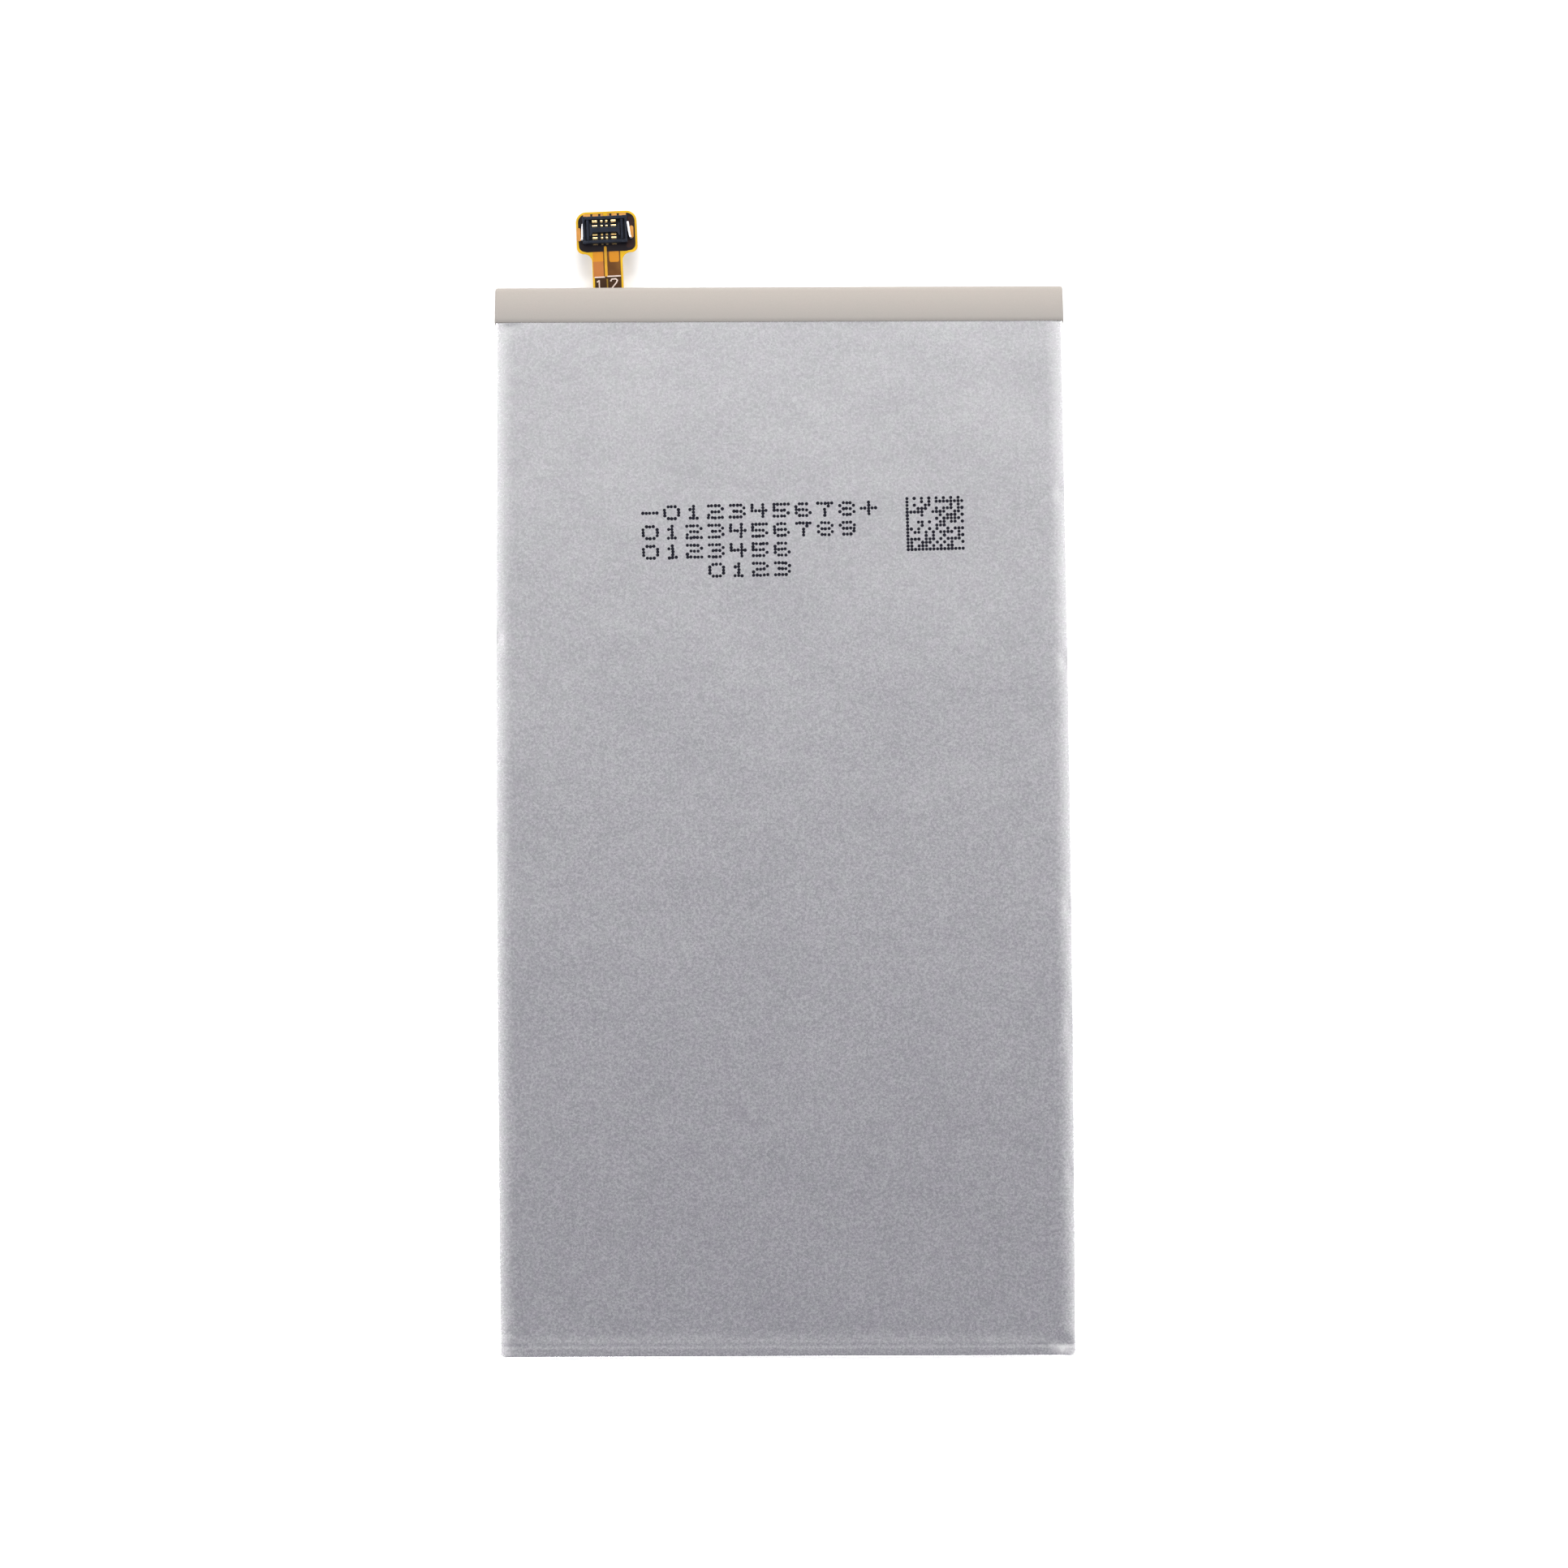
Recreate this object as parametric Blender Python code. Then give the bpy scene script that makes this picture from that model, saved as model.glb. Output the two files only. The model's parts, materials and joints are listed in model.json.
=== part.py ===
# A flat lithium pouch battery of the kind that a phone carries, 49 x 91 x 5.3 mm, with a flex tail.
#
# Origin: the middle of the underside.  +Z runs through the thickness to the printed face,
# +Y to the end that holds the circuit board, +X across.  Sizes are in metres.
#
# Most pieces are thin strips, so most are a centreline drawn in one plane, thickened, and
# extended along the axis that the plane leaves out.

import math

import bmesh
import bpy
from mathutils import Vector

MM = 0.001

# The whole pack.
PACK_WIDTH = 49.0 * MM
PACK_LENGTH = 91.3 * MM
PACK_THICKNESS = 5.3 * MM
FILM = 0.07 * MM                 # cover tape and label film
LAMINATE = 0.11 * MM             # aluminium-plastic pouch sheet
FIT = 0.03 * MM                  # clearance between pieces that touch
HALF_WIDTH = PACK_WIDTH / 2
HALF_LENGTH = PACK_LENGTH / 2

# The pouch.
COVER_BOTTOM = FILM + FIT
COVER_TOP = COVER_BOTTOM + LAMINATE
CUP_RIM = COVER_TOP + FIT
CUP_TOP = PACK_THICKNESS - FILM - FIT
CUP_END = 43.2 * MM              # end wall beside the circuit board
CUP_FOOT = -45.2 * MM            # folded end, measured at the rim
CUP_HALF_WIDTH = 24.1 * MM       # measured at the rim
CUP_DRAFT_SIDE = 0.15 * MM       # how far each wall leans in by the top
CUP_DRAFT_FOOT = 0.2 * MM
EDGE_RADIUS = 0.5 * MM
CORNER_RADIUS = 1.1 * MM
CORNER_STEPS = 5
EDGE_STEPS = 5
SEAM_BEND = 24.155 * MM          # where the side seals start to turn up
SEAM_RADIUS = 0.095 * MM         # inside the bend of the inner seal
INNER_SEAM = LAMINATE / 2 + SEAM_RADIUS
OUTER_SEAM = 3 * LAMINATE / 2 + FIT + SEAM_RADIUS
SEAM_HEIGHT = 3.6 * MM
SEAM_END = 42.6 * MM
FOLD_RADIUS = 0.3 * MM           # the sheet's own fold at the foot
FOLD_HEIGHT = 0.9 * MM

# The terrace, the ledge beyond the end wall that the tabs come out through.
TAPE_START = 42.75 * MM
TERRACE_END = 45.3 * MM
TERRACE_GAP = 0.24 * MM
TERRACE_BOTTOM = COVER_TOP + TERRACE_GAP
TERRACE_TOP = TERRACE_BOTTOM + LAMINATE
TERRACE_HALF_WIDTH = 23.6 * MM
SEAL_SLOT_HALF_WIDTH = 22.0 * MM

# The wound electrodes.
ELECTRODE = 0.13 * MM
SEPARATOR = 0.03 * MM
LAYER_GAP = 0.015 * MM
LAYER_STEP = (ELECTRODE + SEPARATOR) / 2 + LAYER_GAP
ROLL_PITCH = 4 * LAYER_STEP
ROLL_TURNS = 5
ROLL_STEPS = 6                   # steps in each half turn
ROLL_START_RADIUS = 0.16 * MM
ROLL_CENTRE = 2.72 * MM
ROLL_STRAIGHT = 21.3 * MM        # half the flat part of each turn
ROLL_FOOT = -43.0 * MM
ROLL_END = 41.8 * MM
SEPARATOR_OVERHANG = 0.6 * MM

# The two tabs, and the board that they are welded to.
TAB_X = 9.0 * MM
TAB_WIDTH = 4.0 * MM
TAB_THICKNESS = 0.08 * MM
SEALANT_WIDTH = 6.0 * MM
SEALANT_THICKNESS = 0.04 * MM
BOARD_BOTTOM = 1.15 * MM
BOARD_THICKNESS = 0.45 * MM
BOARD_TOP = BOARD_BOTTOM + BOARD_THICKNESS
BOARD_HALF_LENGTH = 22.0 * MM
BOARD_Y = (43.4 * MM, 45.3 * MM)
BOARD_MIDDLE = sum(BOARD_Y) / 2
PLATE_THICKNESS = 0.1 * MM

# The moulded bar that fills the tape over the board.
HOLDER_END = 23.9 * MM
HOLDER_LEG = 22.4 * MM           # the inner face of each leg
HOLDER_FOOT = 0.75 * MM
HOLDER_BAR = (3.0 * MM, 4.9 * MM)
HOLDER_Y = (CUP_END + 0.15 * MM, 45.2 * MM)
HOLDER_POCKETS = 5
HOLDER_WALL = 0.4 * MM

# The flex tail, drawn in its own frame: origin where it leaves the tape, +Y along the tail.
TAIL_EXIT = Vector((-14.89 * MM, 45.95 * MM, 1.72 * MM))
TAIL_SKEW = math.radians(2.3)
FLEX_THICKNESS = 0.12 * MM
NECK_HALF_WIDTH = 1.33 * MM
BEND_GAP = 0.1 * MM              # from each bend's axis to the flex on either side
HEAD_AXIS = 2.1 * MM            # second bend, measured along the tail
HEAD_START = 3.33 * MM
HEAD_END = 6.98 * MM
HEAD_HALF_WIDTH = 2.63 * MM
HEAD_OFFSET = 0.04 * MM
HEAD_CORNER = 0.9 * MM
HEAD_FILLET = 0.7 * MM
STIFFENER_THICKNESS = 0.2 * MM

# The board-to-board connector on the tail's head.
PLUG_CENTRE = Vector((-0.1 * MM, 5.29 * MM))
PLUG_LENGTH = 3.9 * MM
PLUG_WIDTH = 2.4 * MM
PLUG_HEIGHT = 0.6 * MM
PLUG_WALL = 0.23 * MM
PLUG_BOTTOM = FLEX_THICKNESS / 2 + FIT
ISLAND_HALF_WIDTH = 0.12 * MM
CONTACTS = ((-0.86 * MM, 0.46 * MM), (-0.26 * MM, 0.19 * MM),
            (0.16 * MM, 0.19 * MM), (0.76 * MM, 0.46 * MM))
GATE_HEIGHT = 0.13 * MM          # openings that the contacts' tails leave through
NAIL_SHEET = 0.1 * MM
NAIL_FOOT = 0.3 * MM             # how far the foot reaches out on the flex
NAIL_HOOK = 0.2 * MM             # how far the top reaches in over the housing
NAIL_HALF_LENGTH = 0.55 * MM


# Scene and materials

def clear_scene():
    for obj in list(bpy.data.objects):
        bpy.data.objects.remove(obj, do_unlink=True)


def material(name, color, roughness, metallic=0.0):
    made = bpy.data.materials.get(name)
    if made:
        return made
    made = bpy.data.materials.new(name)
    made.use_nodes = True
    shader = made.node_tree.nodes["Principled BSDF"]
    shader.inputs["Base Color"].default_value = (*color, 1.0)
    shader.inputs["Roughness"].default_value = roughness
    shader.inputs["Metallic"].default_value = metallic
    return made


def laminate():
    return material("pouch_laminate", (0.62, 0.61, 0.63), 0.42, 0.85)


def copper_foil():
    return material("anode_coated_copper", (0.10, 0.09, 0.09), 0.6, 0.1)


def cathode_foil():
    return material("cathode_coated_aluminium", (0.06, 0.06, 0.07), 0.65, 0.1)


def separator_film():
    return material("separator_film", (0.88, 0.88, 0.86), 0.5)


def beige_tape():
    return material("beige_tape", (0.58, 0.52, 0.46), 0.55)


def amber_tape():
    return material("amber_tape", (0.62, 0.36, 0.08), 0.35)


def white_film():
    return material("white_film", (0.82, 0.82, 0.80), 0.5)


def aluminium():
    return material("tab_aluminium", (0.80, 0.80, 0.82), 0.35, 1.0)


def nickel():
    return material("tab_nickel", (0.62, 0.60, 0.55), 0.3, 1.0)


def green_board():
    return material("board_laminate", (0.03, 0.16, 0.07), 0.45)


def black_package():
    return material("black_package", (0.02, 0.02, 0.022), 0.4)


def ceramic_chip():
    return material("ceramic_chip", (0.45, 0.33, 0.22), 0.5)


def polyimide():
    return material("polyimide_flex", (0.55, 0.26, 0.03), 0.3)


def connector_plastic():
    return material("connector_plastic", (0.015, 0.018, 0.03), 0.4)


def gold_plate():
    return material("gold_plate", (0.85, 0.60, 0.22), 0.25, 1.0)


# Building blocks

def place(corners, axis, along):
    """Turn 2-D points into 3-D ones, at one position along the axis that is left out."""
    if axis == "X":
        return [Vector((along, a, b)) for a, b in corners]
    if axis == "Y":
        return [Vector((a, along, b)) for a, b in corners]
    return [Vector((a, b, along)) for a, b in corners]


def finish(name, bm, look, parent=None):
    bmesh.ops.remove_doubles(bm, verts=bm.verts, dist=1e-9)
    bmesh.ops.recalc_face_normals(bm, faces=bm.faces)
    mesh = bpy.data.meshes.new(name)
    bm.to_mesh(mesh)
    bm.free()
    obj = bpy.data.objects.new(name, mesh)
    bpy.context.scene.collection.objects.link(obj)
    mesh.materials.append(look)
    obj.parent = parent
    return obj


def bridge(bm, near, far, closed=True):
    """Quads between two rows of vertices of the same length."""
    count = len(near)
    steps = count if closed else count - 1
    for i in range(steps):
        j = (i + 1) % count
        bm.faces.new((near[i], near[j], far[j], far[i]))


def prism(name, outline, axis, span, look, parent=None):
    """A closed outline, extended along an axis."""
    bm = bmesh.new()
    near = [bm.verts.new(p) for p in place(outline, axis, span[0])]
    far = [bm.verts.new(p) for p in place(outline, axis, span[1])]
    bridge(bm, near, far)
    bm.faces.new(near)
    bm.faces.new(far)
    return finish(name, bm, look, parent)


def box(name, x, y, z, look, parent=None):
    outline = [(x[0], y[0]), (x[1], y[0]), (x[1], y[1]), (x[0], y[1])]
    return prism(name, outline, "Z", z, look, parent)


def offset_path(path, distance):
    """The path moved sideways, with mitred corners."""
    points = [Vector(p) for p in path]
    shifted = []
    for i, point in enumerate(points):
        before = (point - points[i - 1]).normalized() if i > 0 else None
        after = (points[i + 1] - point).normalized() if i < len(points) - 1 else None
        first = before or after
        second = after or before
        normal = Vector((-first.y, first.x)) + Vector((-second.y, second.x))
        normal.normalize()
        mitre = normal.dot(Vector((-first.y, first.x)))
        shifted.append(point + normal * (distance / mitre))
    return shifted


def ribbon(name, path, thickness, axis, span, look, parent=None):
    """A strip of even thickness whose centreline is the path."""
    left = offset_path(path, thickness / 2)
    right = offset_path(path, -thickness / 2)
    bm = bmesh.new()
    rows = []
    for side in (left, right):
        for along in span:
            rows.append([bm.verts.new(p) for p in place(side, axis, along)])
    left_near, left_far, right_near, right_far = rows
    bridge(bm, left_near, left_far, closed=False)
    bridge(bm, right_near, right_far, closed=False)
    bridge(bm, left_near, right_near, closed=False)
    bridge(bm, left_far, right_far, closed=False)
    for end in (0, -1):
        bm.faces.new((left_near[end], left_far[end], right_far[end], right_near[end]))
    return finish(name, bm, look, parent)


def arc(centre, radius, start, end, steps):
    """Points along an arc, angles in degrees, both ends included."""
    points = []
    for i in range(steps + 1):
        angle = math.radians(start + (end - start) * i / steps)
        points.append((centre[0] + radius * math.cos(angle), centre[1] + radius * math.sin(angle)))
    return points


def combine(obj, tool, operation):
    """Join or cut with a tool object that isn't a piece of its own."""
    tool.hide_render = True
    tool.display_type = "WIRE"
    step = obj.modifiers.new(tool.name, "BOOLEAN")
    step.operation = operation
    step.object = tool
    step.solver = "EXACT"


# The pouch

def cup_ring(inset, lean, height):
    """Rounded rectangle at one height of the cup, drawn in by inset and by the walls' lean."""
    left = -CUP_HALF_WIDTH + lean * CUP_DRAFT_SIDE + inset
    foot = CUP_FOOT + lean * CUP_DRAFT_FOOT + inset
    end = CUP_END - inset
    radius = CORNER_RADIUS - inset
    ring = []
    corners = ((-left - radius, end - radius, 0), (left + radius, end - radius, 90),
               (left + radius, foot + radius, 180), (-left - radius, foot + radius, 270))
    for x, y, angle in corners:
        for point in arc((x, y), radius, angle, angle + 90, CORNER_STEPS):
            ring.append((*point, height))
    return ring


def cup_skin(inset, top):
    """Rings from the rim up over the rounded edge, for the outer skin or the inner one."""
    radius = EDGE_RADIUS - inset
    shoulder = top - radius
    rings = [cup_ring(inset, 0.0, CUP_RIM)]
    for i in range(EDGE_STEPS + 1):
        angle = math.pi / 2 * i / EDGE_STEPS
        height = shoulder + radius * math.sin(angle)
        rings.append(cup_ring(inset + radius * (1 - math.cos(angle)), 1.0, height))
    return rings


def seam_path(radius, height):
    """A side seal that leaves the pouch flat and turns up along its wall."""
    centre = (SEAM_BEND, COVER_BOTTOM + LAMINATE / 2 + OUTER_SEAM)
    bend = arc(centre, radius, -90, 0, 4)
    return [(CUP_HALF_WIDTH - LAMINATE, centre[1] - radius)] + bend + [(SEAM_BEND + radius, height)]


def mirrored(path):
    return [(-a, b) for a, b in path]


def build_cup():
    bm = bmesh.new()
    skins = []
    for inset, top in ((0.0, CUP_TOP), (LAMINATE, CUP_TOP - LAMINATE)):
        rows = [[bm.verts.new(p) for p in ring] for ring in cup_skin(inset, top)]
        for low, high in zip(rows, rows[1:]):
            bridge(bm, low, high)
        bm.faces.new(rows[-1])
        skins.append(rows)
    bridge(bm, skins[0][0], skins[1][0])
    cup = finish("pouch_cup", bm, laminate())

    slot_y = (CUP_END - 4 * LAMINATE, CUP_END + LAMINATE)
    slot_x = (-SEAL_SLOT_HALF_WIDTH, SEAL_SLOT_HALF_WIDTH)
    slot = box("cup_seal_slot", slot_x, slot_y, (0.0, TERRACE_BOTTOM), laminate())
    combine(cup, slot, "DIFFERENCE")
    ledge_x = (-TERRACE_HALF_WIDTH + CORNER_RADIUS, TERRACE_HALF_WIDTH - CORNER_RADIUS)
    ledge_y = (CUP_END - LAMINATE / 2, TERRACE_END)
    ledge = box("cup_ledge", ledge_x, ledge_y, (TERRACE_BOTTOM, TERRACE_TOP), laminate())
    combine(cup, ledge, "UNION")
    inner = seam_path(INNER_SEAM, SEAM_HEIGHT - 0.15 * MM)
    span = (CUP_FOOT + CORNER_RADIUS, CUP_END - CORNER_RADIUS)
    for side, path in (("right", inner), ("left", mirrored(inner))):
        combine(cup, ribbon("cup_seam_" + side, path, LAMINATE, "Y", span, laminate()), "UNION")
    return cup


def build_cover():
    """The flat half of the pouch: base, terrace, turned-up seals and the fold at the foot."""
    middle = COVER_BOTTOM + LAMINATE / 2
    fold_y = -HALF_LENGTH + LAMINATE / 2 + FOLD_RADIUS
    fold = arc((fold_y, middle + FOLD_RADIUS), FOLD_RADIUS, 180, 270, 4)
    path = [(fold[0][0], FOLD_HEIGHT)] + fold + [(TERRACE_END, middle)]
    base_x = (-SEAM_BEND, SEAM_BEND)
    cover = ribbon("pouch_cover", path, LAMINATE, "X", base_x, laminate())
    outer = seam_path(OUTER_SEAM, SEAM_HEIGHT)
    span = (CUP_FOOT, SEAM_END)
    for side, seam in (("right", outer), ("left", mirrored(outer))):
        combine(cover, ribbon("cover_seam_" + side, seam, LAMINATE, "Y", span, laminate()), "UNION")
    return cover


def build_label():
    """The plain white film under the pack."""
    corner = 1.0 * MM
    half = 22.5 * MM
    ends = (-43.0 * MM, 41.5 * MM)
    outline = []
    for x, y, angle in ((half - corner, ends[1] - corner, 0), (corner - half, ends[1] - corner, 90),
                        (corner - half, ends[0] + corner, 180), (half - corner, ends[0] + corner, 270)):
        outline += arc((x, y), corner, angle, angle + 90, 4)
    return prism("label_film", outline, "Z", (0.0, FILM), white_film())


# The wound electrodes

def roll_path(offset):
    """A flattened spiral: half turns at both sides, joined by flat runs."""
    points = []
    for half_turn in range(2 * ROLL_TURNS):
        side = 1 if half_turn % 2 == 0 else -1
        for i in range(ROLL_STEPS + 1):
            angle = math.pi * (half_turn + i / ROLL_STEPS)
            radius = ROLL_START_RADIUS + offset + ROLL_PITCH * angle / (2 * math.pi)
            points.append((side * ROLL_STRAIGHT + radius * math.sin(angle),
                           ROLL_CENTRE - radius * math.cos(angle)))
    return points


def build_roll():
    layers = (("separator_inner", SEPARATOR, separator_film(), SEPARATOR_OVERHANG),
              ("anode_strip", ELECTRODE, copper_foil(), SEPARATOR_OVERHANG / 2),
              ("separator_outer", SEPARATOR, separator_film(), SEPARATOR_OVERHANG),
              ("cathode_strip", ELECTRODE, cathode_foil(), 0.0))
    for i, (name, thickness, look, overhang) in enumerate(layers):
        span = (ROLL_FOOT - overhang, ROLL_END - SEPARATOR_OVERHANG + overhang)
        ribbon(name, roll_path(i * LAYER_STEP), thickness, "Y", span, look)
    last_top = ROLL_START_RADIUS + 3 * LAYER_STEP + ROLL_PITCH * (ROLL_TURNS - 0.5)
    tape_bottom = ROLL_CENTRE + last_top + ELECTRODE / 2 + LAYER_GAP
    tape_x = (ROLL_STRAIGHT - 14.0 * MM, ROLL_STRAIGHT)
    box("roll_end_tape", tape_x, (ROLL_FOOT, ROLL_END - MM),
        (tape_bottom, tape_bottom + SEPARATOR), amber_tape())


def build_tab(name, x, look):
    """A strip that leaves the roll, runs out through the seal and doubles back under the board."""
    seal = (COVER_TOP + TERRACE_BOTTOM) / 2
    back = BOARD_BOTTOM - PLATE_THICKNESS - 2 * FIT - TAB_THICKNESS / 2
    outer = TERRACE_END + 0.12 * MM
    path = [(ROLL_END + 0.2 * MM, ROLL_CENTRE), (ROLL_END + 0.55 * MM, ROLL_CENTRE),
            (ROLL_END + 0.75 * MM, ROLL_CENTRE - 0.2 * MM),
            (ROLL_END + 0.75 * MM, seal + 0.2 * MM), (ROLL_END + 0.95 * MM, seal),
            (outer - 0.15 * MM, seal), (outer, seal + 0.15 * MM), (outer, back - 0.15 * MM),
            (outer - 0.15 * MM, back), (BOARD_Y[0] + 0.1 * MM, back)]
    span = (x - TAB_WIDTH / 2, x + TAB_WIDTH / 2)
    ribbon(name + "_tab", path, TAB_THICKNESS, "X", span, look)

    sealant_x = (x - SEALANT_WIDTH / 2, x + SEALANT_WIDTH / 2)
    sealant_y = (CUP_END - 0.1 * MM, TERRACE_END - 0.1 * MM)
    half = TAB_THICKNESS / 2 + 0.02 * MM
    sealant = box("tab_sealant_" + name, sealant_x, sealant_y,
                  (seal - half - SEALANT_THICKNESS, seal + half + SEALANT_THICKNESS), white_film())
    cut_x = (span[0] - 0.02 * MM, span[1] + 0.02 * MM)
    cut_y = (sealant_y[0] - MM, sealant_y[1] + MM)
    cut = box(name + "_sealant_cut", cut_x, cut_y, (seal - half, seal + half), white_film())
    combine(sealant, cut, "DIFFERENCE")

    plate_x = (x - 2.4 * MM, x + 2.4 * MM)
    plate_y = (BOARD_Y[0] + 0.1 * MM, BOARD_Y[1] - 0.2 * MM)
    plate_z = (BOARD_BOTTOM - FIT - PLATE_THICKNESS, BOARD_BOTTOM - FIT)
    box(name + "_weld_plate", plate_x, plate_y, plate_z, nickel())


# The board and what holds it

def build_board():
    board_x = (-BOARD_HALF_LENGTH, BOARD_HALF_LENGTH)
    box("circuit_board", board_x, BOARD_Y, (BOARD_BOTTOM, BOARD_TOP), green_board())
    # name, middle along the board, length, width, height, look
    parts = (("protection_ic", -7.0, 2.9, 1.5, 1.0, black_package()),
             ("mosfet_pair", -1.5, 3.0, 1.6, 0.75, black_package()),
             ("thermal_fuse", 13.5, 4.6, 1.6, 1.1, black_package()),
             ("ntc_thermistor", 18.4, 1.0, 0.5, 0.5, ceramic_chip()),
             ("chip_capacitor_1", -10.4, 1.0, 0.5, 0.5, ceramic_chip()),
             ("chip_capacitor_2", 2.0, 1.0, 0.5, 0.5, ceramic_chip()),
             ("chip_resistor_1", -4.6, 1.0, 0.5, 0.35, black_package()),
             ("chip_resistor_2", 4.2, 1.0, 0.5, 0.35, black_package()),
             ("chip_resistor_3", 6.4, 1.0, 0.5, 0.35, black_package()))
    floor = BOARD_TOP + FIT
    for name, x, length, width, height, look in parts:
        box(name, ((x - length / 2) * MM, (x + length / 2) * MM),
            (BOARD_MIDDLE - width / 2 * MM, BOARD_MIDDLE + width / 2 * MM),
            (floor, floor + height * MM), look)
    box("terrace_insulation", (-BOARD_HALF_LENGTH, BOARD_HALF_LENGTH),
        (CUP_END + 0.2 * MM, TERRACE_END - 0.2 * MM),
        (TERRACE_TOP + FIT, TERRACE_TOP + FIT + 0.1 * MM), white_film())


def build_holder():
    """The moulded bar that fills the tape over the board, with legs at both ends."""
    end, leg, foot = HOLDER_END, HOLDER_LEG, HOLDER_FOOT
    low, high = HOLDER_BAR
    outline = [(-end, foot), (-leg, foot), (-leg, low), (leg, low),
               (leg, foot), (end, foot), (end, high), (-end, high)]
    holder = prism("module_holder", outline, "Y", HOLDER_Y, black_package())
    pitch = 2 * leg / HOLDER_POCKETS
    half = pitch / 2 - 2 * HOLDER_WALL
    pocket_y = (HOLDER_Y[0] + HOLDER_WALL, HOLDER_Y[1] - HOLDER_WALL)
    for i in range(HOLDER_POCKETS):
        x = -leg + pitch * (i + 0.5)
        pocket = box(f"holder_pocket_{i + 1}", (x - half, x + half), pocket_y,
                     (low - MM, high - HOLDER_WALL), black_package())
        combine(holder, pocket, "DIFFERENCE")


def tape_outline(inset, start):
    """The tape's section: flat where it laps the foil, then a crown and two round corners."""
    top = PACK_THICKNESS - inset
    out = HALF_LENGTH - inset
    crown = 0.2 * MM
    corner = 0.5 * MM - inset
    foot = 0.4 * MM - inset
    flat = 43.2 * MM
    rise = out - corner - flat
    outline = [(start, inset), (start, top)]
    for i in range(4):
        share = i / 4
        outline.append((flat + rise * share, top - crown * share ** 2))
    outline += arc((out - corner, top - crown - corner), corner, 90, 0, 4)
    outline += arc((out - foot, inset + foot), foot, 0, -90, 3)
    return outline


def build_tape():
    half = HALF_WIDTH
    tape = prism("cover_tape", tape_outline(0.0, TAPE_START), "X", (-half, half), beige_tape())
    inside = prism("tape_inside", tape_outline(FILM, TAPE_START - MM), "X",
                   (FILM - half, half - FILM), beige_tape())
    combine(tape, inside, "DIFFERENCE")
    slot = box("tape_slot", (TAIL_EXIT.x - 1.5 * MM, TAIL_EXIT.x + 1.5 * MM),
               (45.4 * MM, 46.0 * MM), (TAIL_EXIT.z - 0.2 * MM, TAIL_EXIT.z + 0.2 * MM),
               beige_tape())
    combine(tape, slot, "DIFFERENCE")


# The flex tail

def axis_empty(name, location, turn, parent=None):
    empty = bpy.data.objects.new(name, None)
    bpy.context.scene.collection.objects.link(empty)
    empty.location = location
    empty.rotation_euler = (0.0, 0.0, turn)
    empty.empty_display_size = 2 * MM
    empty.parent = parent
    return empty


def lowered(points, shift):
    return [(x, y - shift) for x, y in points]


def head_outline():
    """The head with round corners, and round fillets down to the neck."""
    flat = 0.05 * MM
    left = HEAD_OFFSET - HEAD_HALF_WIDTH
    right = HEAD_OFFSET + HEAD_HALF_WIDTH
    corner = HEAD_CORNER
    neck = NECK_HALF_WIDTH
    fillet = HEAD_FILLET
    start = HEAD_AXIS + BEND_GAP
    low = HEAD_START
    outline = [(-neck, start), (neck, start)]
    outline += arc((neck + fillet, low - fillet), fillet, 180, 90, 3)
    low_corner = right - neck - fillet - flat
    outline += arc((right - low_corner, low + low_corner), low_corner, -90, 0, 3)
    outline += arc((right - corner, HEAD_END - corner), corner, 0, 90, 4)
    outline += arc((left + corner, HEAD_END - corner), corner, 90, 180, 4)
    low_corner = -neck - fillet - left - flat
    outline += arc((left + low_corner, low + low_corner), low_corner, 180, 270, 3)
    outline += arc((-neck - fillet, low - fillet), fillet, 90, 0, 3)
    return outline


def contact_outline(side):
    """One contact seen from its end: tail, leg by the wall, floor and curled inner leg."""
    points = ((1.42, 0.0), (1.42, 0.1), (0.95, 0.1), (0.95, 0.45), (0.85, 0.5), (0.72, 0.45),
              (0.72, 0.15), (0.46, 0.15), (0.46, 0.4), (0.36, 0.47), (0.18, 0.4), (0.18, 0.3),
              (0.32, 0.32), (0.36, 0.28), (0.36, 0.0))
    return [(side * y * MM, PLUG_BOTTOM + z * MM) for y, z in points]


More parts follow.
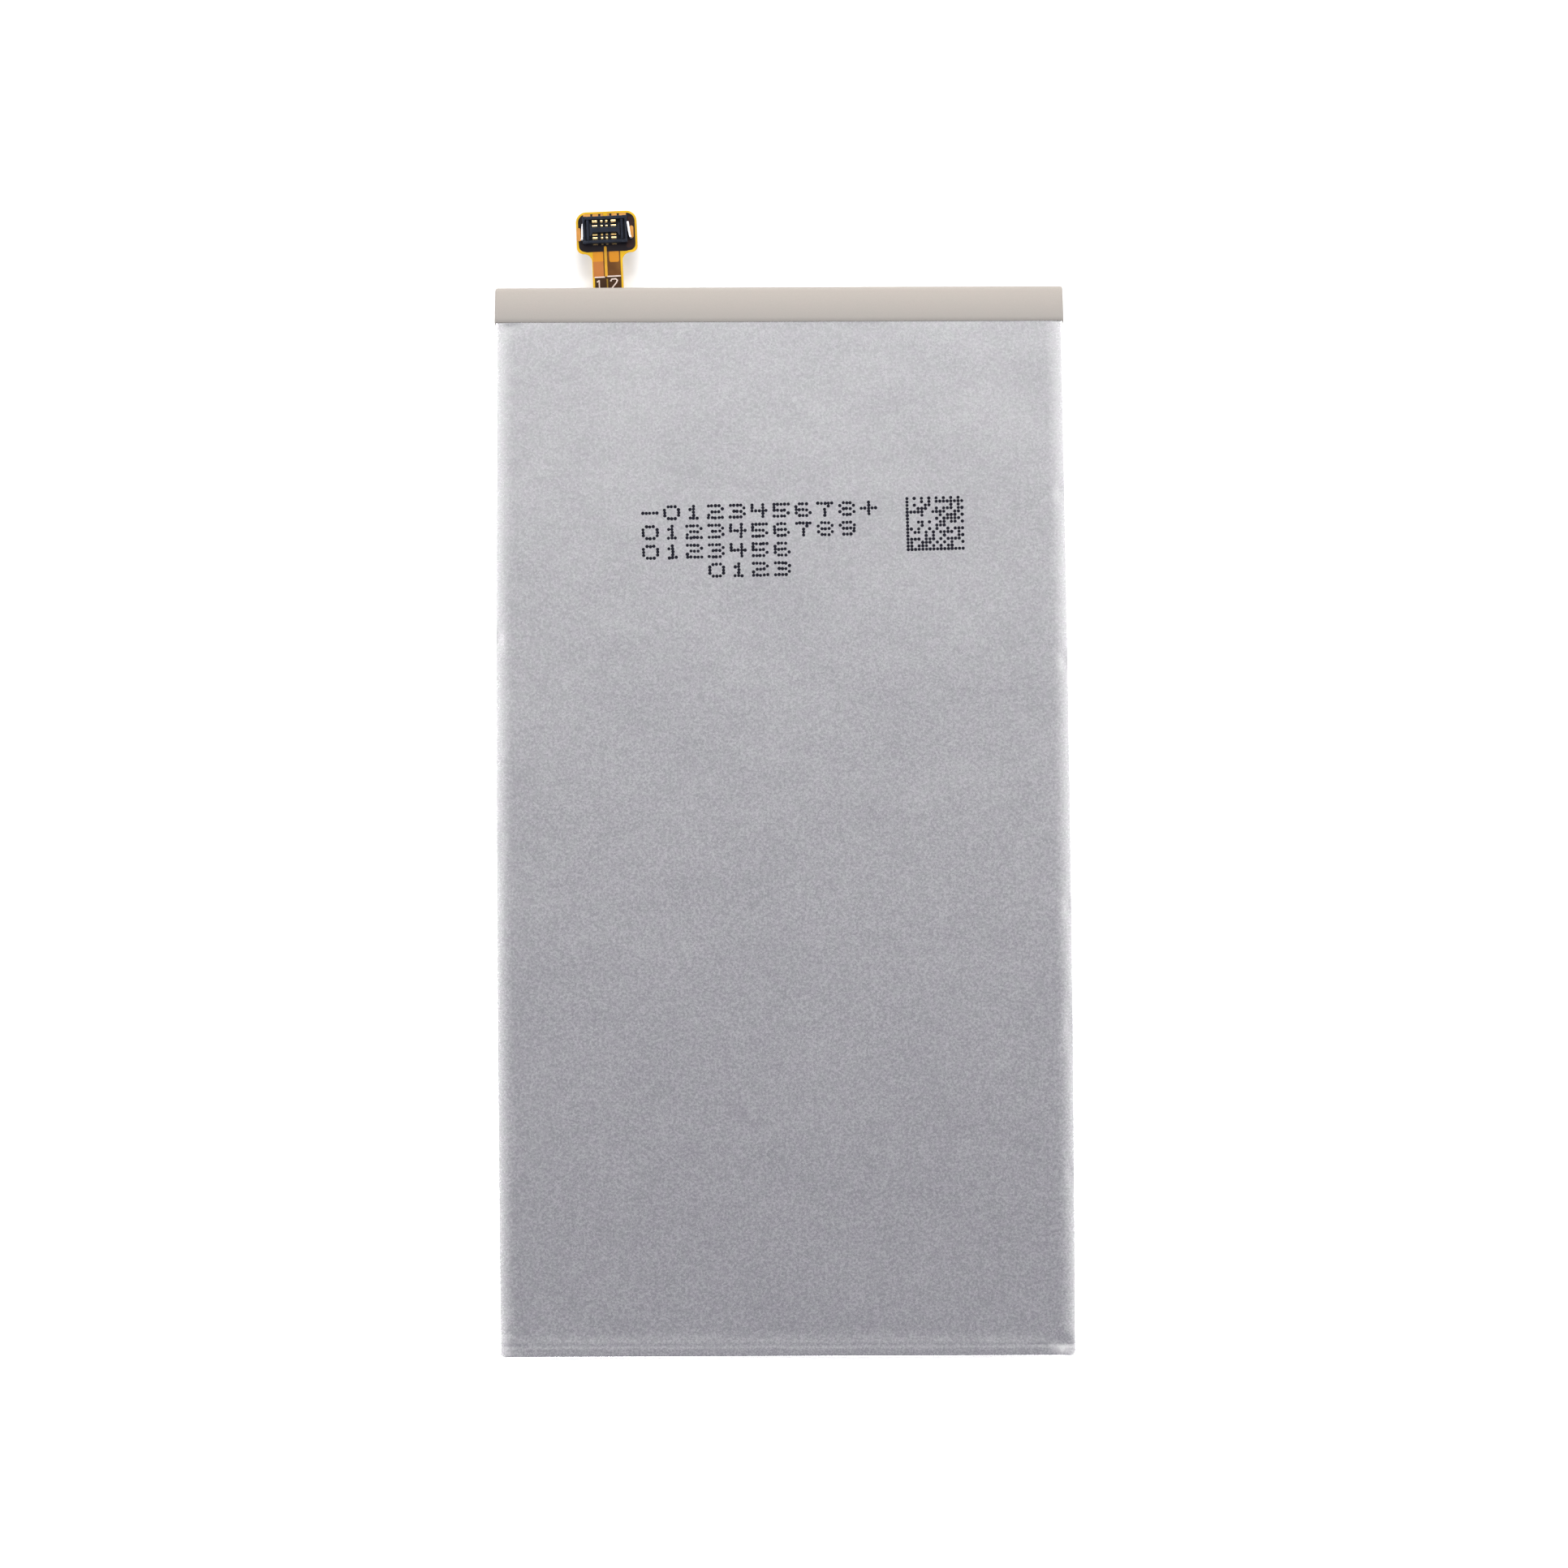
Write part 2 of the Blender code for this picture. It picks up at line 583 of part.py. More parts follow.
def build_connector(head, shift):
    centre = Vector((PLUG_CENTRE.x, PLUG_CENTRE.y - shift))
    half = Vector((PLUG_LENGTH / 2, PLUG_WIDTH / 2))
    moat = half - Vector((0.33 * MM, PLUG_WALL))
    top = PLUG_BOTTOM + PLUG_HEIGHT
    look = connector_plastic()

    def block(name, x, y, z):
        return box(name, (centre.x + x[0], centre.x + x[1]), (centre.y + y[0], centre.y + y[1]),
                   z, look, head)

    housing = block("connector_housing", (-half.x, half.x), (-half.y, half.y), (PLUG_BOTTOM, top))
    through = moat.x - 0.3 * MM
    low = PLUG_BOTTOM - MM
    for side in (-1, 1):
        rows = sorted((side * ISLAND_HALF_WIDTH, side * moat.y))
        combine(housing, block(f"moat_{side}", (-through, through), rows, (low, top + MM)),
                "DIFFERENCE")
        ends = sorted((side * (through - 0.05 * MM), side * moat.x))
        combine(housing, block(f"end_{side}", ends, (-moat.y, moat.y), (top - 0.35 * MM, top + MM)),
                "DIFFERENCE")
    number = 0
    for side in (1, -1):
        for x, width in CONTACTS:
            number += 1
            gate_x = (x - width / 2 - 0.03 * MM, x + width / 2 + 0.03 * MM)
            gate_y = sorted((side * (moat.y - 0.05 * MM), side * (half.y + MM)))
            gate = block(f"gate_{number}", gate_x, gate_y, (low, PLUG_BOTTOM + GATE_HEIGHT))
            combine(housing, gate, "DIFFERENCE")
            outline = [(centre.y + y, z) for y, z in contact_outline(side)]
            span = (centre.x + x - width / 2, centre.x + x + width / 2)
            prism(f"contact_{number}", outline, "X", span, gold_plate(), head)
    for name, side in (("left", -1), ("right", 1)):
        wall = centre.x + side * (half.x + FIT)
        outside = wall + side * NAIL_SHEET
        foot = wall + side * NAIL_FOOT
        hook = wall - side * NAIL_HOOK
        foot_top = PLUG_BOTTOM + NAIL_SHEET
        hook_top = top + NAIL_SHEET / 2
        outline = [(wall, PLUG_BOTTOM), (foot, PLUG_BOTTOM), (foot, foot_top),
                   (outside, foot_top), (outside, hook_top), (hook, hook_top),
                   (hook, top + FIT), (wall, top + FIT)]
        prism("fitting_nail_" + name, outline, "Y",
              (centre.y - NAIL_HALF_LENGTH, centre.y + NAIL_HALF_LENGTH), aluminium(), head)


def build_tail():
    exit_axis = axis_empty("flex_exit_axis", TAIL_EXIT, TAIL_SKEW)
    head_axis = axis_empty("flex_head_axis", (0.0, HEAD_AXIS, 0.0), 0.0, exit_axis)
    thick = (-FLEX_THICKNESS / 2, FLEX_THICKNESS / 2)
    neck_x = (-NECK_HALF_WIDTH, NECK_HALF_WIDTH)
    root_start = BOARD_Y[0] - TAIL_EXIT.y + 0.2 * MM
    box("flex_root", neck_x, (root_start, -BEND_GAP), thick, polyimide(), exit_axis)
    box("flex_neck", neck_x, (BEND_GAP, HEAD_AXIS - BEND_GAP), thick, polyimide(), exit_axis)
    prism("flex_head", lowered(head_outline(), HEAD_AXIS), "Z", thick, polyimide(), head_axis)

    inset = 0.15 * MM
    middle = HEAD_OFFSET
    half = HEAD_HALF_WIDTH - inset
    corner = HEAD_CORNER - inset
    low = HEAD_START + inset - HEAD_AXIS
    high = HEAD_END - inset - HEAD_AXIS
    outline = []
    for x, y, angle in ((middle + half - corner, high - corner, 0),
                        (middle - half + corner, high - corner, 90),
                        (middle - half + corner, low + corner, 180),
                        (middle + half - corner, low + corner, 270)):
        outline += arc((x, y), corner, angle, angle + 90, 4)
    stiffener_top = thick[0] - FIT
    prism("flex_stiffener", outline, "Z", (stiffener_top - STIFFENER_THICKNESS, stiffener_top),
          black_package(), head_axis)
    build_connector(head_axis, HEAD_AXIS)


def build_pack():
    clear_scene()
    build_cup()
    build_cover()
    build_label()
    build_roll()
    build_tab("positive", TAB_X, aluminium())
    build_tab("negative", -TAB_X, nickel())
    build_board()
    build_holder()
    build_tape()
    build_tail()


build_pack()
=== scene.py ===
import json
import math
import random

import bmesh
import bpy
from mathutils import Matrix, Vector, noise


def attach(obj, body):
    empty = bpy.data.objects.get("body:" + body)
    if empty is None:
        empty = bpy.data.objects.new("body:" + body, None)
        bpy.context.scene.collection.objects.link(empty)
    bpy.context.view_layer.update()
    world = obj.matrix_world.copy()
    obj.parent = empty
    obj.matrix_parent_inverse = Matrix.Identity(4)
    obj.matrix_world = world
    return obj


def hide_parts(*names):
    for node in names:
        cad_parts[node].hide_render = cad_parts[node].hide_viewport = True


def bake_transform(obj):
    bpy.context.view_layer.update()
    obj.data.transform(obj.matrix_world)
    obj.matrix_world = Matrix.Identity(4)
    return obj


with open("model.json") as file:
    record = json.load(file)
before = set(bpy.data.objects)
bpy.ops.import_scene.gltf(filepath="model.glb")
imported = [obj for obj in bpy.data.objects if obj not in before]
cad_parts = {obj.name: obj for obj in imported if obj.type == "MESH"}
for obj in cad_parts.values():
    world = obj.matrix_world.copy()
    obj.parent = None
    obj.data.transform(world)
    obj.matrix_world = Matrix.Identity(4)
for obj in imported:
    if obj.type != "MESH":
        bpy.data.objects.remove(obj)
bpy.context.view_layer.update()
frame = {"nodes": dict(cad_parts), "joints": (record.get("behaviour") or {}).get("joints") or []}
mm = 0.001  # every size below is in millimetres, and becomes metres when a mesh is made
print("frame loaded:", len(frame["nodes"]), "nodes")


# camera, light and floor

view = {
    "place": (0.10, -27.61, 400.0),
    "tilt": 4.42,        # degrees, towards the taped end
    "roll": -0.22,
    "lens": 107.0,
}

light = {
    "gapCentre": (0.0, -0.29),       # the dim side of the room, as a direction from straight up
    "gapSize": (0.66, 0.68),
    "steps": ((0.0, 1.9), (0.10, 1.25), (0.28, 0.76), (0.46, 0.275), (1.0, 0.23)),
    "dimTint": (0.985, 0.965, 1.12),
    "lamps": {
        "lampLeft": ((-620.0, 60.0, 520.0), 320.0, 3.2),
        "lampRight": ((620.0, 60.0, 520.0), 320.0, 3.2),
        "lampBack": ((0.0, 640.0, 480.0), 320.0, 3.4),
        "lampFront": ((0.0, -680.0, 300.0), 320.0, 2.0),
    },
}


def buildCamera():
    camera = bpy.data.cameras.new("camera")
    camera.lens = view["lens"]
    camera.clip_start = 0.01
    camera.clip_end = 10.0
    placed = bpy.data.objects.new("camera", camera)
    bpy.context.scene.collection.objects.link(placed)
    turn = Matrix.Rotation(math.radians(view["tilt"]), 4, "X")
    turn = turn @ Matrix.Rotation(math.radians(view["roll"]), 4, "Z")
    placed.matrix_world = Matrix.Translation(Vector(view["place"]) * mm) @ turn
    bpy.context.scene.camera = placed


def buildWorld():
    # a pale room with one long dim gap overhead, between two soft panels
    world = bpy.data.worlds.new("softStudio")
    bpy.context.scene.world = world
    world.use_nodes = True
    tree = world.node_tree
    background = tree.nodes["Background"]
    place = addNode(tree, "ShaderNodeTexCoord")
    sizeX, sizeY = light["gapSize"]
    centreX, centreY = light["gapCentre"]
    fit = addNode(tree, "ShaderNodeMapping", {"Vector": place.outputs["Generated"]})
    fit.inputs["Location"].default_value = (-centreX / sizeX, -centreY / sizeY, 0.0)
    fit.inputs["Scale"].default_value = (1 / sizeX, 1 / sizeY, 0.0)
    ball = addNode(tree, "ShaderNodeTexGradient", {"Vector": fit.outputs["Vector"]},
                   gradient_type="SPHERICAL")
    ramp = addNode(tree, "ShaderNodeValToRGB", {"Fac": ball.outputs["Fac"]})
    stops = ramp.color_ramp
    stops.interpolation = "B_SPLINE"
    for i, (position, strength) in enumerate(light["steps"]):
        stop = stops.elements[i] if i < 2 else stops.elements.new(position)
        stop.position = position
        dim = max(0.0, min(1.0, (0.6 - strength) / 0.3))
        stop.color = (*[strength * (1 + dim * (c - 1)) for c in light["dimTint"]], 1.0)
    tree.links.new(ramp.outputs["Color"], background.inputs["Color"])


def buildLamps():
    for name, (place, size, power) in light["lamps"].items():
        lamp = bpy.data.lights.new(name, "AREA")
        lamp.energy = power
        lamp.size = size * mm
        placed = bpy.data.objects.new(name, lamp)
        bpy.context.scene.collection.objects.link(placed)
        spot = Vector(place) * mm
        aim = spot.to_track_quat("Z", "Y").to_matrix().to_4x4()
        placed.matrix_world = Matrix.Translation(spot) @ aim


def buildFloor():
    half = 1500.0
    corners = [(-half, -half, 0.0), (half, -half, 0.0), (half, half, 0.0), (-half, half, 0.0)]
    floor = addMesh("floor", corners, [(0, 1, 2, 3)], paleFloor())


# small helpers

def addNode(tree, kind, inputs=None, **settings):
    node = tree.nodes.new(kind)
    for name, value in settings.items():
        setattr(node, name, value)
    for name, value in (inputs or {}).items():
        if isinstance(value, bpy.types.NodeSocket):
            tree.links.new(value, node.inputs[name])
        else:
            node.inputs[name].default_value = value
    return node


def linkMesh(name, mesh):
    placed = bpy.data.objects.new(name, mesh)
    bpy.context.scene.collection.objects.link(placed)
    return placed


def addMesh(name, points, faces, material):
    mesh = bpy.data.meshes.new(name)
    mesh.from_pydata([Vector(p) * mm for p in points], [], faces)
    mesh.materials.append(material)
    return linkMesh(name, mesh)


def fromBmesh(name, bm, material, place=None):
    # the mesh is drawn in millimetres; place then moves it, in metres
    bmesh.ops.recalc_face_normals(bm, faces=bm.faces)
    mesh = bpy.data.meshes.new(name)
    bm.to_mesh(mesh)
    bm.free()
    mesh.transform(Matrix.Scale(mm, 4))
    if place is not None:
        mesh.transform(place)
    mesh.materials.append(material)
    return linkMesh(name, mesh)


def smooth(piece, angle=40.0):
    piece.data.shade_smooth()
    piece.data.set_sharp_from_angle(angle=math.radians(angle))


def arc(centre, radius, start, end, steps):
    points = []
    for i in range(steps + 1):
        turn = math.radians(start + (end - start) * i / steps)
        points.append((centre[0] + radius * math.cos(turn), centre[1] + radius * math.sin(turn)))
    return points


def roundedBox(x, y, corner, steps=5):
    outline = []
    for cx, cy, start in ((x[1] - corner, y[1] - corner, 0), (x[0] + corner, y[1] - corner, 90),
                          (x[0] + corner, y[0] + corner, 180), (x[1] - corner, y[0] + corner, 270)):
        outline += arc((cx, cy), corner, start, start + 90, steps)
    return outline


def slab(bm, outline, low, high):
    # a flat outline given thickness
    bottom = [bm.verts.new((x, y, low)) for x, y in outline]
    face = bm.faces.new(bottom)
    grown = bmesh.ops.extrude_face_region(bm, geom=[face])
    raised = [g for g in grown["geom"] if isinstance(g, bmesh.types.BMVert)]
    bmesh.ops.translate(bm, verts=raised, vec=(0.0, 0.0, high - low))


def soften(piece, width, segments=2):
    bevel = piece.modifiers.new("softEdges", "BEVEL")
    bevel.width = width * mm
    bevel.segments = segments
    bevel.limit_method = "ANGLE"
    bevel.angle_limit = math.radians(35.0)
    bevel.harden_normals = True


def clamp(value):
    return max(0.0, min(1.0, value))


def wrinkle(x, y, size, seed=0.0):
    return noise.noise(Vector((x / size, y / size, seed)))


def ripple(x, y, waves):
    # waves: the height, length and seed of each
    return sum(height * wrinkle(x, y, size, seed) for height, size, seed in waves)


def quads(rows):
    # the faces between neighbouring rows of points
    wide = len(rows[0])
    faces = []
    for j in range(len(rows) - 1):
        for i in range(wide - 1):
            a = j * wide + i
            faces.append((a, a + 1, a + wide + 1, a + wide))
    return faces


def thicken(piece, thickness):
    # inwards, so that the faces given stay where they are
    wall = piece.modifiers.new("thickness", "SOLIDIFY")
    wall.thickness = thickness * mm
    wall.offset = -1.0


# materials

def newMaterial(name, look):
    material = bpy.data.materials.new(name)
    material.use_nodes = True
    tree = material.node_tree
    shader = tree.nodes["Principled BSDF"]
    for socket, value in look.items():
        shader.inputs[socket].default_value = value
    return material, tree, shader


def grain(tree, size, detail=2.0, stretch=(1.0, 1.0, 1.0)):
    # noise whose spots are about size millimetres across
    place = addNode(tree, "ShaderNodeTexCoord")
    fit = addNode(tree, "ShaderNodeMapping", {"Vector": place.outputs["Object"], "Scale": stretch})
    return addNode(tree, "ShaderNodeTexNoise", {"Vector": fit.outputs["Vector"], "Detail": detail,
                                                "Scale": 1 / (size * mm)}).outputs["Fac"]


def between(tree, amount, low, high, start=0.3, end=0.7):
    return addNode(tree, "ShaderNodeMapRange",
                   {"Value": amount, "From Min": start, "From Max": end,
                    "To Min": low, "To Max": high}).outputs["Result"]


def colorBetween(tree, amount, first, second, start=0.3, end=0.7):
    ramp = addNode(tree, "ShaderNodeValToRGB", {"Fac": amount})
    ramp.color_ramp.elements[0].position = start
    ramp.color_ramp.elements[0].color = (*first, 1.0)
    ramp.color_ramp.elements[1].position = end
    ramp.color_ramp.elements[1].color = (*second, 1.0)
    return ramp.outputs["Color"]


def roughen(tree, shader, heights):
    # heights: pairs of a noise output and its height in millimetres
    normal = None
    for height, depth in heights:
        inputs = {"Height": height, "Strength": 1.0, "Distance": depth * mm}
        if normal is not None:
            inputs["Normal"] = normal
        normal = addNode(tree, "ShaderNodeBump", inputs).outputs["Normal"]
    tree.links.new(normal, shader.inputs["Normal"])


def finishOf(name, first, second, roughness, grainSize, grainHeight, **look):
    # a finish with two close colours, an uneven gloss and a fine grain
    material, tree, shader = newMaterial(name, look)
    spots = grain(tree, grainSize, 3.0)
    clouds = grain(tree, grainSize * 9, 2.0)
    tree.links.new(colorBetween(tree, clouds, first, second), shader.inputs["Base Color"])
    tree.links.new(between(tree, spots, *roughness), shader.inputs["Roughness"])
    roughen(tree, shader, [(spots, grainHeight)])
    return material


def finishFrom(name, row):
    *colorsAndGrain, metallic, specular = row
    look = {"Metallic": metallic, "Specular IOR Level": specular}
    return finishOf(name, *colorsAndGrain, **look)


def paleFloor():
    return finishOf("paleFloor", (0.90, 0.90, 0.90), (0.92, 0.92, 0.92), (0.8, 0.9), 1.5, 0.01)


foilLook = {
    "light": (0.835, 0.83, 0.84),
    "dark": (0.79, 0.785, 0.80),
    "lilac": (0.995, 0.978, 1.0),
    "green": (0.985, 1.0, 0.99),
    "grain": 0.16,        # the fine sparkle of the nylon face
    "mottle": 0.8,
    "peel": 0.9,          # the soft orange peel under it
    "gloss": (0.21, 0.28),
}


def satinFoil():
    material, tree, shader = newMaterial("satinFoil", {"Metallic": 1.0})
    fine = grain(tree, foilLook["grain"], 1.0)
    mottle = grain(tree, foilLook["mottle"], 3.0)
    peel = grain(tree, foilLook["peel"], 2.0)
    clouds = grain(tree, 7.0, 3.0)
    color = colorBetween(tree, clouds, foilLook["dark"], foilLook["light"], 0.25, 0.75)
    sparkle = colorBetween(tree, fine, (0.885, 0.885, 0.885), (1.0, 1.0, 1.0), 0.3, 0.7)
    tint = colorBetween(tree, mottle, foilLook["lilac"], foilLook["green"], 0.35, 0.65)
    grained = multiply(tree, color, sparkle)
    tree.links.new(multiply(tree, grained, tint), shader.inputs["Base Color"])
    tree.links.new(between(tree, fine, *foilLook["gloss"]), shader.inputs["Roughness"])
    roughen(tree, shader, [(peel, 0.004), (mottle, 0.0006), (fine, 0.0005)])
    return material


def multiply(tree, first, second):
    mix = addNode(tree, "ShaderNodeMix", data_type="RGBA", blend_type="MULTIPLY")
    mix.inputs[0].default_value = 1.0
    tree.links.new(first, mix.inputs[6])
    tree.links.new(second, mix.inputs[7])
    return mix.outputs[2]


tapePaintedLight = {
    "low": (0.254, 0.237, 0.223),       # painted shade: darker beside the foil
    "high": (0.338, 0.306, 0.279),      # painted light: lighter at the outer edge
    "from": 42.6,
    "to": 45.6,
}


def beigeTape():
    material, tree, shader = newMaterial("beigeTape", {"Specular IOR Level": 0.25})
    place = addNode(tree, "ShaderNodeTexCoord")
    parts = addNode(tree, "ShaderNodeSeparateXYZ", {"Vector": place.outputs["Object"]})
    # painted light: the tape's colour runs from darker beside the foil to lighter at its outer edge,
    # standing in for the lit crown
    up = between(tree, parts.outputs["Y"], 0.0, 1.0, tapePaintedLight["from"] * mm, tapePaintedLight["to"] * mm)
    paintedLight = colorBetween(tree, up, tapePaintedLight["low"], tapePaintedLight["high"], 0.0, 1.0)
    fibre = grain(tree, 0.14, 4.0, (1.0, 1.6, 1.0))
    clouds = grain(tree, 1.6, 3.0)
    speck = colorBetween(tree, fibre, (0.95, 0.95, 0.95), (1.0, 1.0, 1.0))
    patch = colorBetween(tree, clouds, (0.985, 0.99, 0.98), (1.0, 0.99, 0.985))
    tree.links.new(multiply(tree, multiply(tree, paintedLight, speck), patch), shader.inputs["Base Color"])
    tree.links.new(between(tree, fibre, 0.55, 0.75), shader.inputs["Roughness"])
    roughen(tree, shader, [(clouds, 0.01), (fibre, 0.006)])
    return material


# the silver pouch

pouch = {
    "widest": 24.54,         # half the width, a little above the middle
    "widestAt": -4.0,
    "taper": 0.000114,       # how fast the sides draw in towards both ends
    "nominal": 24.5,
    "lean": -0.005,          # the whole pouch is a little out of square
    "shift": 0.04,
}

cup = {
    "halfWidth": 24.46,
    "foot": -45.46,
    "end": 43.3,
    "top": 5.2,
    "edge": 0.10,            # tight round edge
    "shoulder": 1.6,         # the soft fall before it, and its steepness
    "steepness": 0.20,
    "cornerFoot": 0.6,
    "cornerEnd": 0.25,
    "spacing": 0.5,          # between the mesh's lines, and their places at the edges
    "tight": (0.0, 0.02, 0.06, 0.11, 0.17, 0.24, 0.32),
    "laminate": 0.11,
    # height, then how far in the side walls and out the foot wall are there
    "wall": ((4.5, -0.01, 0.0), (4.1, -0.04, 0.01), (3.8, -0.12, 0.02), (3.6, -0.25, 0.02),
             (3.45, -0.32, 0.03), (2.4, -0.31, 0.03), (1.5, -0.28, 0.04), (0.8, -0.24, 0.04),
             (0.24, -0.22, 0.04)),
    "rim": 0.24,
    "bow": ((0.03, 5.0, 7.0),),
}

footFold = {
    "at": -44.52,            # the crease that runs along the foot of the face
    "rise": 0.042,
    "run": 1.3,
    "depth": 0.011,
    "width": 0.16,
    "lipRise": 0.006,
}


def waist(x, y):
    # the sides are a little barrel-shaped
    half = pouch["widest"] - pouch["taper"] * (y - pouch["widestAt"]) ** 2
    return x * half / pouch["nominal"] + pouch["lean"] * y + pouch["shift"]


# where: x, y.  size: along and across.  depth is downwards, turn is in degrees
dents = [
    {"where": (22.3, 27.0), "size": (1.5, 0.28), "depth": 0.012, "turn": 52},
    {"where": (22.0, 26.1), "size": (1.0, 0.45), "depth": -0.008, "turn": 52},
    {"where": (23.9, 27.9), "size": (0.5, 0.6), "depth": 0.030, "turn": 0},
    {"where": (24.0, 13.4), "size": (0.4, 0.45), "depth": 0.035, "turn": 0},
    {"where": (24.0, -7.6), "size": (0.4, 0.9), "depth": 0.020, "turn": 0},
    {"where": (24.0, -17.5), "size": (0.4, 1.8), "depth": 0.014, "turn": 0},
    {"where": (24.0, -30.0), "size": (0.4, 0.8), "depth": 0.016, "turn": 0},
    {"where": (-24.1, 15.4), "size": (0.4, 0.7), "depth": 0.030, "turn": 0},
    {"where": (-23.9, -2.0), "size": (0.4, 1.5), "depth": 0.010, "turn": 0},
    {"where": (-23.4, 42.2), "size": (0.9, 0.35), "depth": 0.022, "turn": 8},
    {"where": (23.3, -44.4), "size": (0.8, 0.6), "depth": 0.085, "turn": 20},
    {"where": (-23.3, -44.7), "size": (1.6, 0.5), "depth": 0.02, "turn": -8},
]

# thin lines in the foil: the points they pass, half width and depth
creases = [
    {"path": ((-23.6, -43.3), (-23.1, -43.65), (-22.3, -44.05), (-21.2, -44.4)), "width": 0.15,
     "depth": 0.010},
    {"path": ((21.5, -44.5), (22.2, -44.2), (22.7, -43.9)), "width": 0.16, "depth": 0.010},
    {"path": ((-13.6, -11.0), (-12.0, -11.6), (-10.4, -12.4)), "width": 0.16, "depth": -0.010},
    {"path": ((8.6, 4.9), (8.4, 3.4), (8.1, 1.5)), "width": 0.09, "depth": 0.007},
    {"path": ((-3.9, -5.2), (-1.0, -5.9), (2.0, -5.6)), "width": 0.10, "depth": 0.004},
    {"path": ((14.0, -31.0), (15.4, -31.6), (17.2, -31.4)), "width": 0.12, "depth": 0.004},
]


# how uneven the face is: the height, length and seed of each wave
faceWaves = ((0.020, 9.0, 1.0), (0.008, 3.2, 2.0), (0.0025, 1.5, 3.0))
tapeWaves = ((0.0035, 1.3, 4.0),)


def fromLine(x, y, path):
    # distance from a point to a line through several points
    nearest = 99.0
    for (ax, ay), (bx, by) in zip(path, path[1:]):
        dx, dy = bx - ax, by - ay
        share = clamp(((x - ax) * dx + (y - ay) * dy) / (dx * dx + dy * dy))
        nearest = min(nearest, math.hypot(x - ax - dx * share, y - ay - dy * share))
    return nearest


def footShape(x, y):
    # the face rises a little towards the crease, dips in it, and rises again on the lip
    wave = 0.05 * wrinkle(x, 0.0, 4.0, 41.0)
    beyond = y - footFold["at"] - wave
    if beyond > 0:
        share = max(0.0, 1 - beyond / footFold["run"])
        lift = footFold["rise"] * share ** 2
    else:
        lift = footFold["rise"] + footFold["lipRise"] * min(1.0, -beyond / 0.8)
    return lift - footFold["depth"] * math.exp(-(beyond / footFold["width"]) ** 2)


def faceLift(x, y):
    # how far the face stands above its flat height
    nearTape = clamp((y - 34.0) / 6.0)
    lift = ripple(x, y, faceWaves) + nearTape * ripple(x, y, tapeWaves)
    for dent in dents:
        dx, dy = x - dent["where"][0], y - dent["where"][1]
        if abs(dx) + abs(dy) < 6.0:
            turn = math.radians(dent["turn"])
            along = (dx * math.cos(turn) + dy * math.sin(turn)) / dent["size"][0]
            across = (dy * math.cos(turn) - dx * math.sin(turn)) / dent["size"][1]
            lift -= dent["depth"] * math.exp(-(along ** 2 + across ** 2))
    for crease in creases:
        first = crease["path"][0]
        if abs(x - first[0]) + abs(y - first[1]) < 8.0:
            away = fromLine(x, y, crease["path"]) / crease["width"]
            lift -= crease["depth"] * math.exp(-away ** 2)
    if y < -42.5:
        lift += footShape(x, y)
    underTape = clamp((cup["end"] - 0.3 - y) / 0.8)
    return lift * underTape


def gridLine(low, high, fineLow, fineHigh):
    # close lines near both edges, even ones between
    lowEdge, highEdge = list(cup["tight"]), list(cup["tight"])
    while lowEdge[-1] < fineLow:
        lowEdge.append(lowEdge[-1] + 0.09)
    while highEdge[-1] < fineHigh:
        highEdge.append(highEdge[-1] + 0.12)
    start, stop = low + lowEdge[-1], high - highEdge[-1]
    count = round((stop - start) / cup["spacing"])
    line = [low + d for d in lowEdge]
    line += [start + (stop - start) * i / count for i in range(1, count)]
    return line + [high - d for d in reversed(highEdge)]


def roundCorner(x, y):
    # moves a point of the square grid so that the outline gets round corners
    radius = cup["cornerEnd"] if y > 0 else cup["cornerFoot"]
    cornerX = cup["halfWidth"] - radius
    low, high = cup["foot"] + radius, cup["end"] - radius
    overX = abs(x) - cornerX
    overY = y - high if y > 0 else low - y
    if overX <= 0 or overY <= 0:
        return x, y
    a, b = overX / radius, overY / radius
    newX = cornerX + radius * a * math.sqrt(1 - b * b / 2)
    newY = radius * b * math.sqrt(1 - a * a / 2)
    return math.copysign(newX, x), (high + newY if y > 0 else low - newY)


def edgeDrop(x, y):
    # a soft fall, then a tight round edge; the taped end has only the tight one
    edge, shoulder = cup["edge"], cup["shoulder"]
    side, foot, end = cup["halfWidth"] - abs(x), y - cup["foot"], cup["end"] - y
    away = min(side, foot, end)
    drop = 0.0
    if side < shoulder:
        drop += cup["steepness"] / (2 * shoulder) * (shoulder - side) ** 2
    if away < edge:
        drop += edge - math.sqrt(max(0.0, edge ** 2 - (edge - away) ** 2))
    return drop


